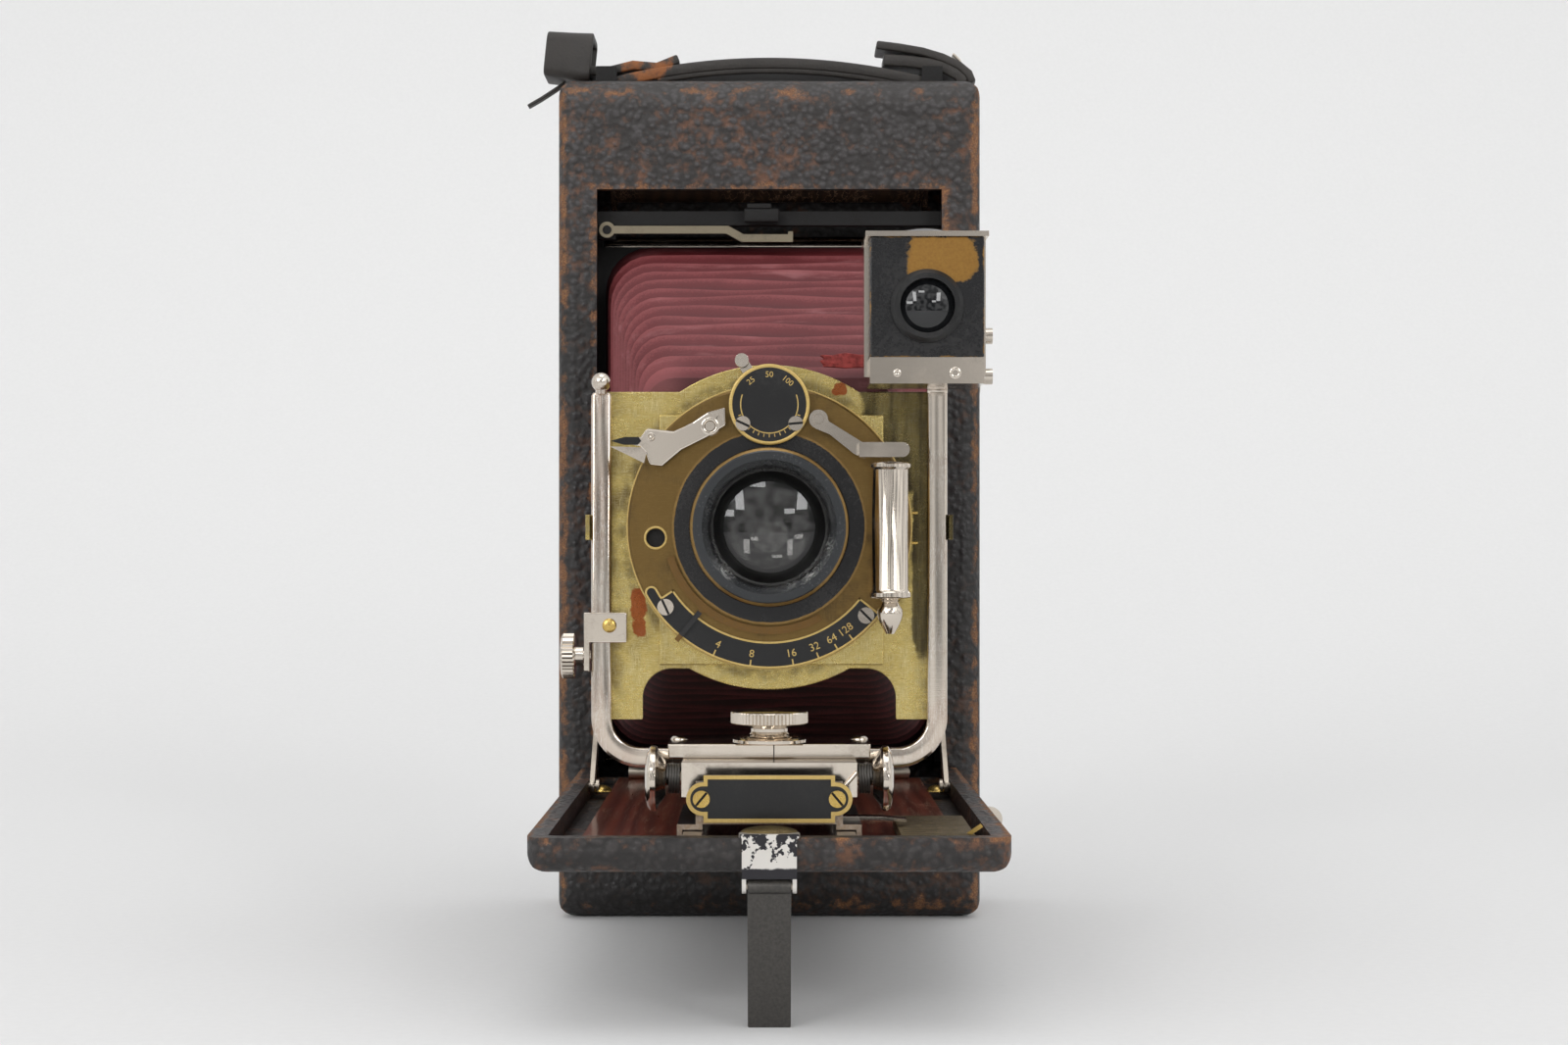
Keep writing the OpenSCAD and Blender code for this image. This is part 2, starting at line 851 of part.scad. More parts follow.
// Pin of the bed hinge, four brace pins with heads and the leg's pin
module hinge_pins() {
    color(nickel) {
        rod_x(-barrel_len / 2, barrel_len / 2, barrel_y, barrel_z, hinge_pin_r);
        both_sides() {
            brace_pin(opening_w / 2 + pin_seat, brace_top_y, brace_top_z);
            brace_pin(bed_in + pin_seat, brace_foot_y, brace_foot_z);
        }
        rod_x(-clip_w / 2, clip_w / 2, leg_y, leg_z, leg_pin_r);
    }
}

module brace_pin(end, y, z) {
    rod_x(brace_x - slide_gap - 0.8, brace_x - slide_gap, y, z, brace_pin_r + 1);
    rod_x(brace_x - slide_gap, end, y, z, brace_pin_r);
}

// Two lipped rails on the panel
module track_rails() {
    inner = track_w / 2 - rail_w;
    color(nickel)
        both_sides()
            along_y(bed_y0 + bed_rim + 1, bed_len - bed_rim - 24)
                polygon([[inner, panel_top], [inner + rail_web, panel_top],
                    [inner + rail_web, rail_top - rail_lip], [track_w / 2, rail_top - rail_lip],
                    [track_w / 2, rail_top], [inner, rail_top]]);
}

// Strip with round ends between the bed and the case
module brace() {
    lean = atan2(brace_top_z - brace_foot_z, brace_top_y - brace_foot_y);
    difference() {
        along_x(brace_x, brace_t)
            translate([brace_foot_y, brace_foot_z])
                rotate(lean) {
                    circle(brace_w / 2);
                    translate([brace_len, 0])
                        circle(brace_w / 2);
                    translate([0, -brace_w / 2])
                        square([brace_len, brace_w]);
                }
        rod_x(0, body_w, brace_foot_y, brace_foot_z, brace_pin_r + pin_gap);
        rod_x(0, body_w, brace_top_y, brace_top_z, brace_pin_r + pin_gap);
    }
}

module bed_braces() {
    color(nickel)
        both_sides()
            brace();
}

// Nickel clip over the bed's front edge, with two ears for the leg
module bed_clip() {
    ear = clip_w / 2 - leg_w / 2 - slide_gap;
    tab_r = clip_w / 2 + 0.7;
    color(nickel) {
        along_x(-clip_w / 2, clip_w)
            polygon([[bed_y0 - clip_t, bed_bottom - clip_t], [bed_y0 + 7, bed_bottom - clip_t],
                [bed_y0 + 7, bed_bottom], [bed_y0, bed_bottom], [bed_y0, bed_top],
                [bed_y0 + bed_rim, bed_top], [bed_y0 + bed_rim, bed_top + clip_t],
                [bed_y0 - clip_t, bed_top + clip_t]]);
        intersection() {
            translate([0, bed_y0 + 1, bed_top])
                cylinder(h = clip_t, r = tab_r);
            box([-clip_w, bed_y0 - clip_t, bed_top], [clip_w, bed_y0 + 2 * clip_w, bed_top + clip_t]);
        }
        both_sides()
            difference() {
                along_x(clip_w / 2 - ear, ear) {
                    translate([leg_y, leg_z])
                        circle(leg_barrel_r);
                    translate([leg_y - leg_barrel_r, leg_z])
                        square([2 * leg_barrel_r, bed_bottom - clip_t / 2 - leg_z]);
                }
                rod_x(0, clip_w, leg_y, leg_z, leg_pin_r + pin_gap);
            }
    }
}

// Flat steel leg that stands on the same floor as the body
module kickstand() {
    color(steel)
        along_x(-leg_w / 2, leg_w)
            translate([leg_y, leg_z])
                difference() {
                    union() {
                        circle(leg_barrel_r);
                        rotate(leg_lean)
                            translate([-leg_t / 2, -leg_len])
                                square([leg_t, leg_len - leg_pin_r]);
                    }
                    circle(leg_pin_r + pin_gap);
                }
}

// Folded brass distance plate beside the track
module focus_plate() {
    left = track_w / 2 + 10;
    right = bed_in - 3.2;
    plate_z = panel_top + 2;
    color(brass) {
        along_y(bed_y0 + 7, 40)
            polygon([[left, panel_top], [left + 1, panel_top], [left + 1, plate_z], [right, plate_z],
                [right, plate_z + 0.8], [left, plate_z + 0.8]]);
        along_y(bed_y0 + 7, 4)
            translate([right - 7, panel_top])
                square([2, plate_z - panel_top]);
    }
}

// Quarter round corner of a bellows ring, as offsets from the corner's centre
corner_steps = [0, 45, 90];
function ring_points(half_w, half_h, r, y, z) = [
    for (q = [0 : 3], a = corner_steps)
        let (sx = (q == 0 || q == 3) ? 1 : -1, sz = q < 2 ? 1 : -1)
        [sx * (half_w - r) + r * cos(90 * q + a), y, z + sz * (half_h - r) + r * sin(90 * q + a)]];
function mixed(a, b, t) = a + (b - a) * t;
function bellows_ring(i, skin) =
    let (t = i / (2 * pleats), cut = (i % 2) * pleat_depth + skin)
    ring_points(mixed(bellows_front_w, bellows_w, t) / 2 - cut,
        mixed(bellows_front_h, bellows_h, t) / 2 - cut,
        mixed(7, 13, t), mixed(bellows_y0, gate_y, t), mixed(lens_z + 1, body_mid, t));

// Tapered leather tube with straight pleats, open at both ends
module bellows() {
    rings = 2 * pleats + 1;
    per = 4 * len(corner_steps);
    points = [for (skin = [0, bellows_skin], i = [0 : rings - 1]) each bellows_ring(i, skin)];
    inner = rings * per;
    walls = [for (i = [0 : rings - 2], k = [0 : per - 1])
        let (a = i * per + k, b = i * per + (k + 1) % per, c = b + per, d = a + per)
        each [[a, b, c], [a, c, d], [inner + b, inner + a, inner + c], [inner + a, inner + d, inner + c]]];
    ends = [for (k = [0 : per - 1])
        let (a = k, b = (k + 1) % per, last = (rings - 1) * per)
        each [[a, inner + a, inner + b], [a, inner + b, b],
            [last + b, last + inner + b, last + inner + a], [last + b, last + inner + a, last + a]]];
    color(maroon)
        polyhedron(points, concat(walls, ends));
}

// Hat section slide that straddles the track, with an upright front wall
module carriage_base() {
    lip_x = track_w / 2 + slide_gap;
    wall_top = tag_z + 3.8;
    color(black)
    difference() {
        union() {
            along_y(carriage_y0, carriage_len) {
                translate([-hat_w / 2, block_z0 - hat_t])
                    square([hat_w, hat_t]);
                both_sides() {
                    translate([hat_w / 2 - hat_t, foot_z])
                        square([hat_t, block_z0 - foot_z]);
                    translate([hat_w / 2 - hat_t, foot_z])
                        square([lip_x + foot_t - hat_w / 2 + hat_t, foot_t]);
                    translate([lip_x, panel_top + 0.5])
                        square([foot_t, foot_z + foot_t - panel_top - 0.5]);
                }
            }
            box([-hat_w / 2, carriage_y0, foot_z + foot_t], [hat_w / 2, carriage_y0 + hat_t, wall_top]);
        }
        both_sides()
            rod_y(carriage_y0 - 1, carriage_y0 + hat_t + 1, tag_screw_x, tag_z, tag_pin_r + pin_gap);
    }
}

// Nickel block with the slot that the U frame's bottom bar slides in
module carriage_block() {
    half = block_w / 2;
    color(nickel)
    difference() {
        box([-half, block_y0, block_z0], [half, block_y1, block_z1]);
        box([-block_w, u_y0 - slide_gap, slot_z], [block_w, u_y1 + slide_gap, block_z1 + 1]);
        both_sides()
            rod_x(half - rod_in - button_travel - 1, half + 1, button_y, button_z, rod_r + pin_gap);
        translate([0, shift_y, block_z0 + 2])
            cylinder(h = block_z1, r = shift_stud_r + pin_gap);
    }
}

// Bar that closes the slot from above
module cross_bar() {
    color(nickel)
    difference() {
        box([-cross_w / 2, cross_y0, block_z1], [cross_w / 2, cross_y1, cross_z1]);
        box([-cross_w, u_y0 - slide_gap, block_z1 - 1],
            [cross_w, u_y1 + slide_gap, frame_z0 + bar_w + slide_gap]);
        translate([0, shift_y, 0])
            cylinder(h = body_h, r = shift_stud_r + pin_gap);
    }
}

// Blank plate with eared ends
module front_plate() {
    color(black)
    difference() {
        along_y(carriage_y0 - tag_t, tag_t)
            translate([0, tag_z]) {
                square([tag_w - 2 * tag_ear, tag_h], center = true);
                rounded(tag_w, tag_ear_h, tag_ear_h / 2 - 0.1);
            }
        both_sides()
            rod_y(carriage_y0 - 5, carriage_y0 + 5, tag_screw_x, tag_z, tag_pin_r + pin_gap);
    }
}

// Slotted screws of the blank plate
module plate_screws() {
    color(brass)
        both_sides() {
            rod_y(carriage_y0 - tag_t, carriage_y0 + hat_t, tag_screw_x, tag_z, tag_pin_r);
            slotted_head(carriage_y0 - tag_t, tag_screw_x, tag_z, tag_pin_r + 1, 50);
        }
}

// Bent strip that points at the distance plate
module focus_pointer() {
    start = hat_w / 2 + 0.2;
    bend = track_w / 2 + 6;
    tip = track_w / 2 + 12;
    z = foot_z + foot_t;
    color(nickel)
        along_y(block_y0, 4)
            polygon([[start, z], [bend, z], [tip, z - 0.5],
                [tip, z + 0.2], [bend, z + 0.8], [start, z + 0.8]]);
}

// Mushroom button on a rod, turned about the left side of the block
module button() {
    rim = spring_len + 2.2;
    translate([-block_w / 2, button_y, button_z])
        rotate([0, -90, 0])
            rotate_extrude()
                polygon([[0, -rod_in], [rod_r, -rod_in], [rod_r, spring_len], [spring_r + 1, spring_len],
                    [button_r - 1.6, rim - 0.8], [button_r, rim], [button_r, rim + 1.2],
                    [button_r - 0.9, spring_len + button_h - 0.5], [button_r - 3, spring_len + button_h],
                    [0, spring_len + button_h]]);
}

module left_button() {
    color(nickel)
        button();
}

module right_button() {
    color(nickel)
        mirror([1, 0, 0])
            button();
}

// Coil round the button's rod, swept as one tube along its helix
spring_sides = 6;
spring_rings = round(8 * spring_turns);
spring_rise = spring_len - spring_wire - 0.2;
function spring_centre(j) =
    let (t = j / spring_rings, a = 360 * spring_turns * t)
    [spring_r * cos(a), spring_r * sin(a), spring_wire / 2 + 0.1 + spring_rise * t];
function spring_ring(j) =
    let (a = 360 * spring_turns * j / spring_rings, c = spring_centre(j))
    [for (s = [0 : spring_sides - 1])
        let (b = 360 * s / spring_sides, out = spring_wire / 2 * cos(b))
        c + [out * cos(a), out * sin(a), spring_wire / 2 * sin(b)]];
spring_gap = min([for (j = [0 : spring_rings - 6], k = [j + 6 : spring_rings])
    norm(spring_centre(j) - spring_centre(k)) - spring_wire]);
echo(least_gap_of_the_button_spring = spring_gap);

module button_spring() {
    points = [for (j = [0 : spring_rings]) each spring_ring(j)];
    last = spring_rings * spring_sides;
    sides = [for (j = [0 : spring_rings - 1], s = [0 : spring_sides - 1])
        let (a = j * spring_sides + s, b = j * spring_sides + (s + 1) % spring_sides)
        each [[a, b, a + spring_sides], [b, b + spring_sides, a + spring_sides]]];
    caps = [for (s = [1 : spring_sides - 2])
        each [[0, s + 1, s], [last, last + s, last + s + 1]]];
    translate([-block_w / 2, button_y, button_z])
        rotate([0, -90, 0])
            polyhedron(points, concat(sides, caps));
}

module button_springs() {
    color(steel)
        both_sides()
            button_spring();
}

// Knurled thumbscrew on a domed base
module shift_screw() {
    c = cross_z1 + slide_gap;
    color(nickel)
        translate([0, shift_y, 0])
            rotate_extrude()
                polygon([[0, block_z0 + 3], [shift_stud_r, block_z0 + 3], [shift_stud_r, c],
                    [knurl_r - 0.3, c], [knurl_r - 0.3, c + 0.7], [knurl_r - 1.6, c + 1.6],
                    [4.6, c + 2.1], [4.2, c + 3.2], [5.4, c + 4], [knurl_r, c + 4.3],
                    [knurl_r, c + 7], [knurl_r - 0.5, c + 7.3], [0, c + 7.3]]);
}

// Flat bar bent to a U, with a ball on the left leg and the finder's lug on the right
module u_frame() {
    height = leg_top_z - frame_z0;
    ball_y = u_y1 - ball_r;
    color(nickel)
    difference() {
        union() {
            along_y(u_y0, bar_t)
                difference() {
                    intersection() {
                        translate([0, leg_top_z])
                            rounded(frame_w, 2 * height, bend_r);
                        translate([-frame_w / 2, frame_z0])
                            square([frame_w, height]);
                    }
                    translate([0, leg_top_z])
                        rounded(2 * frame_in, 2 * (height - bar_w), bend_r - bar_w);
                }
            along_y(u_y0, bar_t)
                translate([pivot_x, 0]) {
                    translate([0, pivot_z])
                        circle(pivot_r + 0.9);
                    translate([-pivot_r - 0.9, leg_top_z - 0.5])
                        square([2 * pivot_r + 1.8, pivot_z - leg_top_z + 0.5]);
                }
            translate([-pivot_x, ball_y, leg_top_z - 0.5])
                cylinder(h = 1.5, r = ball_r - 0.9);
            translate([-pivot_x, ball_y, leg_top_z + ball_r])
                sphere(ball_r);
        }
        rod_y(u_y0 - 1, u_y1 + 1, pivot_x, pivot_z, pivot_r + pin_gap);
    }
}

// Tray, side arms, top plate and pivot pin of the finder
module finder_cradle() {
    left = finder_x - finder_w / 2;
    right = finder_x + finder_w / 2;
    mid_y = (finder_y0 + finder_y1) / 2;
    color(nickel) {
        difference() {
            box([left, finder_y0, tray_z0], [right, tray_y1, finder_z0]);
            box([left + arm_t, finder_y0 + arm_t, tray_z0 + arm_t],
                [right - arm_t, tray_y1 - arm_t, finder_z0 + 1]);
        }
        box([left - arm_t, mid_y - 4, tray_z0 + 2], [left, mid_y + 4, finder_z1 + top_t]);
        box([right, mid_y - 4, tray_z0 + 2], [right + arm_t, mid_y + 4, finder_z1 + top_t]);
        difference() {
            box([left - arm_t, finder_y0 - 0.5, finder_z1], [right + arm_t, finder_y1, finder_z1 + top_t]);
            translate([finder_x, mid_y, finder_z1 - 1])
                cylinder(h = top_t + 2, r = top_lens_r);
        }
        rod_y(tray_y1 - 0.5, u_y1 - 0.1, pivot_x, pivot_z, pivot_r);
    }
}

module finder_box() {
    left = finder_x - finder_w / 2;
    right = finder_x + finder_w / 2;
    color(black)
    difference() {
        box([left, finder_y0, finder_z0], [right, finder_y1, finder_z1]);
        box([left + shell_t, finder_y0 + shell_t, finder_z0 + shell_t],
            [right - shell_t, finder_y1 - shell_t, finder_z1 - shell_t]);
        rod_y(finder_y0 - 1, finder_y0 + shell_t + 1, finder_x, eye_z, eye_glass_r);
        translate([finder_x, (finder_y0 + finder_y1) / 2, finder_z1 - shell_t - 1])
            cylinder(h = shell_t + 2, r = top_lens_r - 1.5);
    }
}

module finder_bezel() {
    color(black)
        turned_y(finder_x, finder_y0, eye_z)
            polygon([[eye_glass_r, 0], [eye_r, 0], [eye_r, 0.8], [eye_r - 0.9, 1.8], [eye_glass_r, 1.8]]);
}

// Domed front glass and the larger glass under the top plate's window
module finder_lenses() {
    dome = 3.3;
    dome_r = (pow(top_lens_r, 2) + dome * dome) / (2 * dome);
    bulge = 1.8;
    bulge_r = (pow(eye_glass_r, 2) + bulge * bulge) / (2 * bulge);
    color("#9fb0b8") {
        intersection() {
            translate([finder_x, (finder_y0 + finder_y1) / 2, finder_z1 + dome - dome_r])
                sphere(dome_r, $fn = 96);
            translate([finder_x, (finder_y0 + finder_y1) / 2, finder_z1])
                cylinder(h = dome + 1, r = top_lens_r - 0.05);
        }
        intersection() {
            translate([finder_x, finder_y0 - bulge + bulge_r, eye_z])
                sphere(bulge_r, $fn = 96);
            rod_y(finder_y0 - bulge - 1, finder_y0 + shell_t, finder_x, eye_z, eye_glass_r - 0.05);
        }
    }
}

// Brass board: a plate behind the U frame with a round middle, two feet and two edge guides
module lens_board() {
    foot_z0 = lens_z - board_down;
    guide_x = frame_w / 2 + slide_gap;
    color(brass) {
        along_y(board_y0, board_t)
            difference() {
                union() {
                    translate([-board_half, foot_z0])
                        square([2 * board_half, board_top - foot_z0]);
                    translate([0, lens_z])
                        circle(board_r, $fn = 120);
                }
                difference() {
                    translate([0, foot_z0 - arch_r])
                        rounded(arch_w, 2 * (arch_top - foot_z0 + arch_r), arch_r);
                    translate([0, lens_z])
                        circle(board_r, $fn = 120);
                }
                translate([0, lens_z])
                    circle(spigot_r + 0.1);
            }
        both_sides() {
            box([board_half - 1, board_y0, lens_z - guide_h / 2],
                [guide_x + guide_t, board_y1, lens_z + guide_h / 2]);
            box([guide_x, u_y0 - 0.6, lens_z - guide_h / 2],
                [guide_x + guide_t, board_y1, lens_z + guide_h / 2]);
        }
    }
}

// Strap round the left leg that carries the rise screw
module rise_bracket() {
    side_x = frame_w / 2 + slide_gap;
    front_y = u_y0 - slide_gap;
    z0 = lens_z - 27.1;
    z1 = lens_z - 20.1;
    color(nickel)
    difference() {
        union() {
            box([-side_x - bracket_t, front_y - bracket_t, z0], [-33.5, front_y, z1]);
            box([-frame_in + slide_gap, front_y - bracket_t, z0], [-33.5, board_y0, z1]);
            box([-side_x - bracket_t, front_y - bracket_t, rise_z - 3.6], [-side_x, board_y1, z1]);
        }
        rod_x(-body_w, -side_x + 1, u_y0 + bar_t / 2, rise_z, rise_pin_r + pin_gap);
    }
}

// Thumbscrew on the left edge that clamps the board's height
module rise_screw() {
    neck = slide_gap + bracket_t + slide_gap;
    color(nickel)
        translate([-frame_w / 2, u_y0 + bar_t / 2, rise_z])
            rotate([0, -90, 0])
                rotate_extrude()
                    polygon([[0, 0.1], [rise_pin_r, 0.1], [rise_pin_r, neck], [2.3, neck],
                        [2.3, neck + 1.8], [rise_head_r, neck + 1.9], [rise_head_r, neck + 4.9],
                        [rise_head_r - 0.5, neck + 5.2], [0, neck + 5.2]]);
}

module shutter_plate() {
    color(brass)
        along_y(plate_y0, plate_t)
            difference() {
                translate([0.5, lens_z - 3])
                    square([plate_w, plate_h], center = true);
                translate([0, lens_z])
                    circle(spigot_r + 0.1);
            }
}

// Brass drum with its rear spigot, the seat of the front cell and a screw recess
module shutter_drum() {
    color(brass)
    difference() {
        turned_y(0, plate_y0, lens_z)
            polygon([[throat_r, -spigot_len], [spigot_r, -spigot_len], [spigot_r, 0], [drum_r, 0],
                [drum_r, drum_t - 0.8], [drum_r - 0.8, drum_t], [cell_r, drum_t],
                [cell_r, drum_t - cell_seat], [throat_r, drum_t - cell_seat]]);
        rod_y(drum_y0 - 1, drum_y0 + 1.5, -26.4, lens_z - 2.5, 2.2);
    }
}

// Front cell: black flange ring and stepped mount
module lens_bezel() {
    rim = glass_r - 0.8;
    color(black)
        turned_y(0, drum_y0, lens_z)
            polygon([[rim, -cell_seat], [cell_r - 0.05, -cell_seat], [cell_r - 0.05, 0], [ring_r, 0],
                [ring_r, ring_t], [bezel_r + 0.5, ring_t], [bezel_r + 0.5, 4.5], [bezel_r, 5.3],
                [bezel_r, bezel_out - 0.8],
                [bezel_r - 0.8, bezel_out], [glass_r + 1.8, bezel_out], [glass_r + 0.05, bezel_out - 3.6],
                [glass_r + 0.05, 3], [rim, 3]]);
}

// Glass bounded by a plane and a sphere; its bulge faces the front
module glass_disc(y, r, edge, bulge) {
    ball = (r * r + bulge * bulge) / (2 * bulge);
    intersection() {
        translate([0, y - edge - bulge + ball, lens_z])
            sphere(ball, $fn = 96);
        rod_y(y - edge - bulge - 1, y, 0, lens_z, r);
    }
}

module lens_glass() {
    color("#8fa3ad") {
        glass_disc(drum_y0 - 3, glass_r, 0.8, 4.4);
        translate([0, 2 * (plate_y0 + spigot_len + 4), 0])
            mirror([0, 1, 0])
                glass_disc(plate_y0 + spigot_len + 4, rear_glass_r, 0.8, 2.4);
    }
}

// Rear cell screwed into the drum's spigot from inside the bellows
module rear_cell() {
    color(black)
        turned_y(0, plate_y0 + spigot_len, lens_z)
            polygon([[rear_glass_r - 1, 2.5], [throat_r - 0.05, 2.5], [throat_r - 0.05, 0],
                [spigot_r - 1, 0], [spigot_r - 1, -9], [rear_glass_r + 0.05, -9],
                [rear_glass_r + 0.05, -4], [rear_glass_r - 1, -4]]);
}

// Fan of points from the axis to well outside the drum
function wedge(a0, a1) = concat([[0, 0]],
    [for (i = [0 : 8]) let (a = mixed(a0, a1, i / 8)) 2 * drum_r * [cos(a), sin(a)]]);

// Sector of a flat ring about the lens axis
module ring_sector(r0, r1, a0, a1) {
    translate([0, lens_z])
        intersection() {
            difference() {
                circle(r1, $fn = 120);
                circle(r0, $fn = 120);
            }
            polygon(wedge(a0, a1));
        }
}

// Six curved leaves behind one another in the drum's throat
module iris_blades() {
    color(steel)
        for (i = [0 : 5])
            along_y(plate_y0 - 3 + i * 0.32, 0.26)
                ring_sector(8.4, throat_r - 0.06, i * 60, i * 60 + 96);
}

// Place of a screw at the end of the aperture scale
function scale_screw(i) =
    let (a = i == 0 ? scale_start + 4.6 : scale_end - 4.4, r = scale_out - 2.4)
    [r * cos(a), lens_z + r * sin(a)];

module aperture_scale() {
    color(black)
    difference() {
        along_y(drum_y0 - scale_t, scale_t)
        {
            ring_sector(scale_in, scale_out, scale_start, scale_end);
            ring_sector(scale_out - 2 * hook_r, scale_out, hook_at, scale_start + 1);
            translate([0, lens_z])
                rotate(hook_at)
                    translate([scale_out - hook_r, 0])
                        circle(hook_r);
        }
        for (i = [0, 1])
            rod_y(drum_y0 - 2, drum_y0 + 1, scale_screw(i)[0], scale_screw(i)[1], 0.9);
    }
}

// Ring and pointer that set the aperture
module aperture_pointer() {
    color(brass)
        along_y(pointer_y, pointer_t)
        {
            ring_sector(ring_r + 0.5, ring_r + 2.2, pointer_at - 34, pointer_at + 69);
            translate([0, lens_z])
                rotate(pointer_at)
                    translate([ring_r + 1.2, -pointer_w / 2])
                        square([scale_out - ring_r, pointer_w]);
        }
}

// Screws of the scale and the dial, and the shouldered rivets of the two levers
module shutter_screws() {
    color(nickel) {
        for (i = [0, 1]) {
            rod_y(drum_y0 - scale_t, drum_y0, scale_screw(i)[0], scale_screw(i)[1], 0.85);
            slotted_head(drum_y0 - scale_t, scale_screw(i)[0], scale_screw(i)[1], 1.9, 65 - 20 * i);
        }
        for (side = [-1, 1])
            slotted_head(dial_y, side * 6.1, dial_z - 4.4, 1.7, 10 - 15 * side);
        for (p = [finger_pin, release_pin]) {
            rod_y(lever_y - 0.5, drum_y0, p[0], lens_z + p[1], lever_pin_r);
            rod_y(lever_y + lever_t + slide_gap, drum_y0, p[0], lens_z + p[1], lever_shoulder);
        }
    }
}

// Round plate over the shutter's top, on a hub
module speed_dial() {
    hub = selector_t + 2 * slide_gap;
    color(black)
        turned_y(0, dial_y + dial_t, dial_z)
            polygon([[0, -hub], [dial_hub_r, -hub], [dial_hub_r, 0], [dial_r, 0], [dial_r, dial_t - 0.3],
                [dial_r - 0.3, dial_t], [0, dial_t]]);
}

// Arm under the dial with a small knob at its end
module speed_selector() {
    knob_at = 122;
    knob_r = dial_r + 2.6;
    color(nickel) {
        along_y(selector_y, selector_t)
            translate([0, dial_z])
                difference() {
                    union() {
                        circle(dial_hub_r + 2.2);
                        rotate(knob_at)
                            translate([0, -1.3])
                                square([knob_r, 2.6]);
                        translate(knob_r * [cos(knob_at), sin(knob_at)])
                            circle(1.3);
                    }
                    circle(dial_hub_r + pin_gap);
                }
        rod_y(selector_y - 3, selector_y, knob_r * cos(knob_at), dial_z + knob_r * sin(knob_at), 1.6);
    }
}

// Left lever with its wide finger end; points are offsets from its rivet
module finger_lever() {
    color(nickel)
    difference() {
        along_y(lever_y, lever_t)
            translate([finger_pin[0], lens_z + finger_pin[1]])
                polygon([[3.5, 4.4], [-0.6, 3.2], [-4, 0.9], [-8.4, -1.2], [-14.6, -0.5], [-16, -2.5],
                    [-22.9, -3.4], [-16.2, -4.6], [-14.9, -6], [-13.9, -8.9], [-11, -9.2], [-6.5, -5.4],
                    [-0.7, -2.5], [3.6, 0.2]]);
        rod_y(lever_y - 1, lever_y + 3, finger_pin[0], lens_z + finger_pin[1], lever_pin_r + pin_gap);
    }
}

// Right lever, bent forwards to a finger piece before the air cylinder
module release_lever() {
    x0 = release_pin[0];
    z0 = lens_z + release_pin[1];
    color(nickel)
    difference() {
        union() {
            along_y(lever_y, lever_t)
                translate([x0, z0])
                    polygon([[-1.2, 1.9], [0.6, 1.9], [2.4, -0.6], [10.6, -5.7], [10.6, -9.2], [8.2, -8.1],
                        [2.6, -3.6], [-0.8, -2.2]]);
            box([x0 + 9.1, lever_y - 8.6, z0 - 9.1], [x0 + 10.6, lever_y + lever_t, z0 - 5.7]);
            along_y(lever_y - 8.6, 1.3)
                translate([x0 + 9.1, z0 - 9.1]) {
                    square([9.8, 3.4]);
                    translate([9.8, 1.7])
                        circle(1.7);
                }
        }
        rod_y(lever_y - 1, lever_y + 3, x0, z0, lever_pin_r + pin_gap);
    }
}

// Air cylinder with two flanges, a bracket to the drum and the hose nipple below
module air_cylinder() {
    top = air_len;
    flange = air_r + 0.6;
    color(nickel)
    difference() {
        union() {
            translate([air_x, air_y, air_z0])
                rotate_extrude()
                    polygon([[0, -10.7], [1, -10.7], [1.3, -10.2], [2.7, -7.4], [2.9, -5.2],
                        [1.9, -3.4], [3, -2.6], [flange, -2.4], [flange, -1], [air_r, 0], [air_r, top],
                        [flange, top + 0.3],
                        [flange, top + 1.5], [air_r, top + 1.8], [0, top + 1.8]]);
            box([air_x - 1.8, air_y, lens_z - 6], [air_x + 1.8, drum_y0, lens_z + 6]);
        }
        translate([air_x, air_y, air_z0 + 1.5])
            cylinder(h = air_len - 3, r = air_bore);
        translate([air_x, air_y, air_z0 + 1.5])
            cylinder(h = air_len + 2, r = piston_rod_r + pin_gap);
    }
}

module piston() {
    head = air_z0 + air_len - 2 - piston_len;
    color(steel)
        translate([air_x, air_y, 0]) {
            translate([0, 0, head])
                cylinder(h = piston_len, r = piston_r);
            translate([0, 0, head + piston_len - 0.5])
                cylinder(h = 4, r = piston_rod_r);
        }
}

case_shell();
film_gate();
upper_roller();
lower_roller();
spool_pins();
take_up_spool();
winding_key();
supply_spool();
back_cover();
red_window();
back_catch();
catch_bar();
door_catch();
handle_strap();
strap_lugs();
tripod_bushes();
bed_tray();
bed_panel();
bed_hinge();
hinge_pins();
track_rails();
bed_braces();
bed_clip();
kickstand();
focus_plate();
bellows();
carriage_base();
carriage_block();
cross_bar();
front_plate();
plate_screws();
focus_pointer();
left_button();
right_button();
button_springs();
shift_screw();
u_frame();
finder_cradle();
finder_box();
finder_bezel();
finder_lenses();
lens_board();
rise_bracket();
rise_screw();
shutter_plate();
shutter_drum();
lens_bezel();
lens_glass();
rear_cell();
iris_blades();
aperture_scale();
aperture_pointer();
shutter_screws();
speed_dial();
speed_selector();
finger_lever();
release_lever();
air_cylinder();
piston();
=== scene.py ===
# Looks of the open folding-bed camera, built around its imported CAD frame.
# The scene is in metres; the figures of the pieces are in millimetres.
import math

import bmesh
import bpy
from mathutils import Matrix, Vector


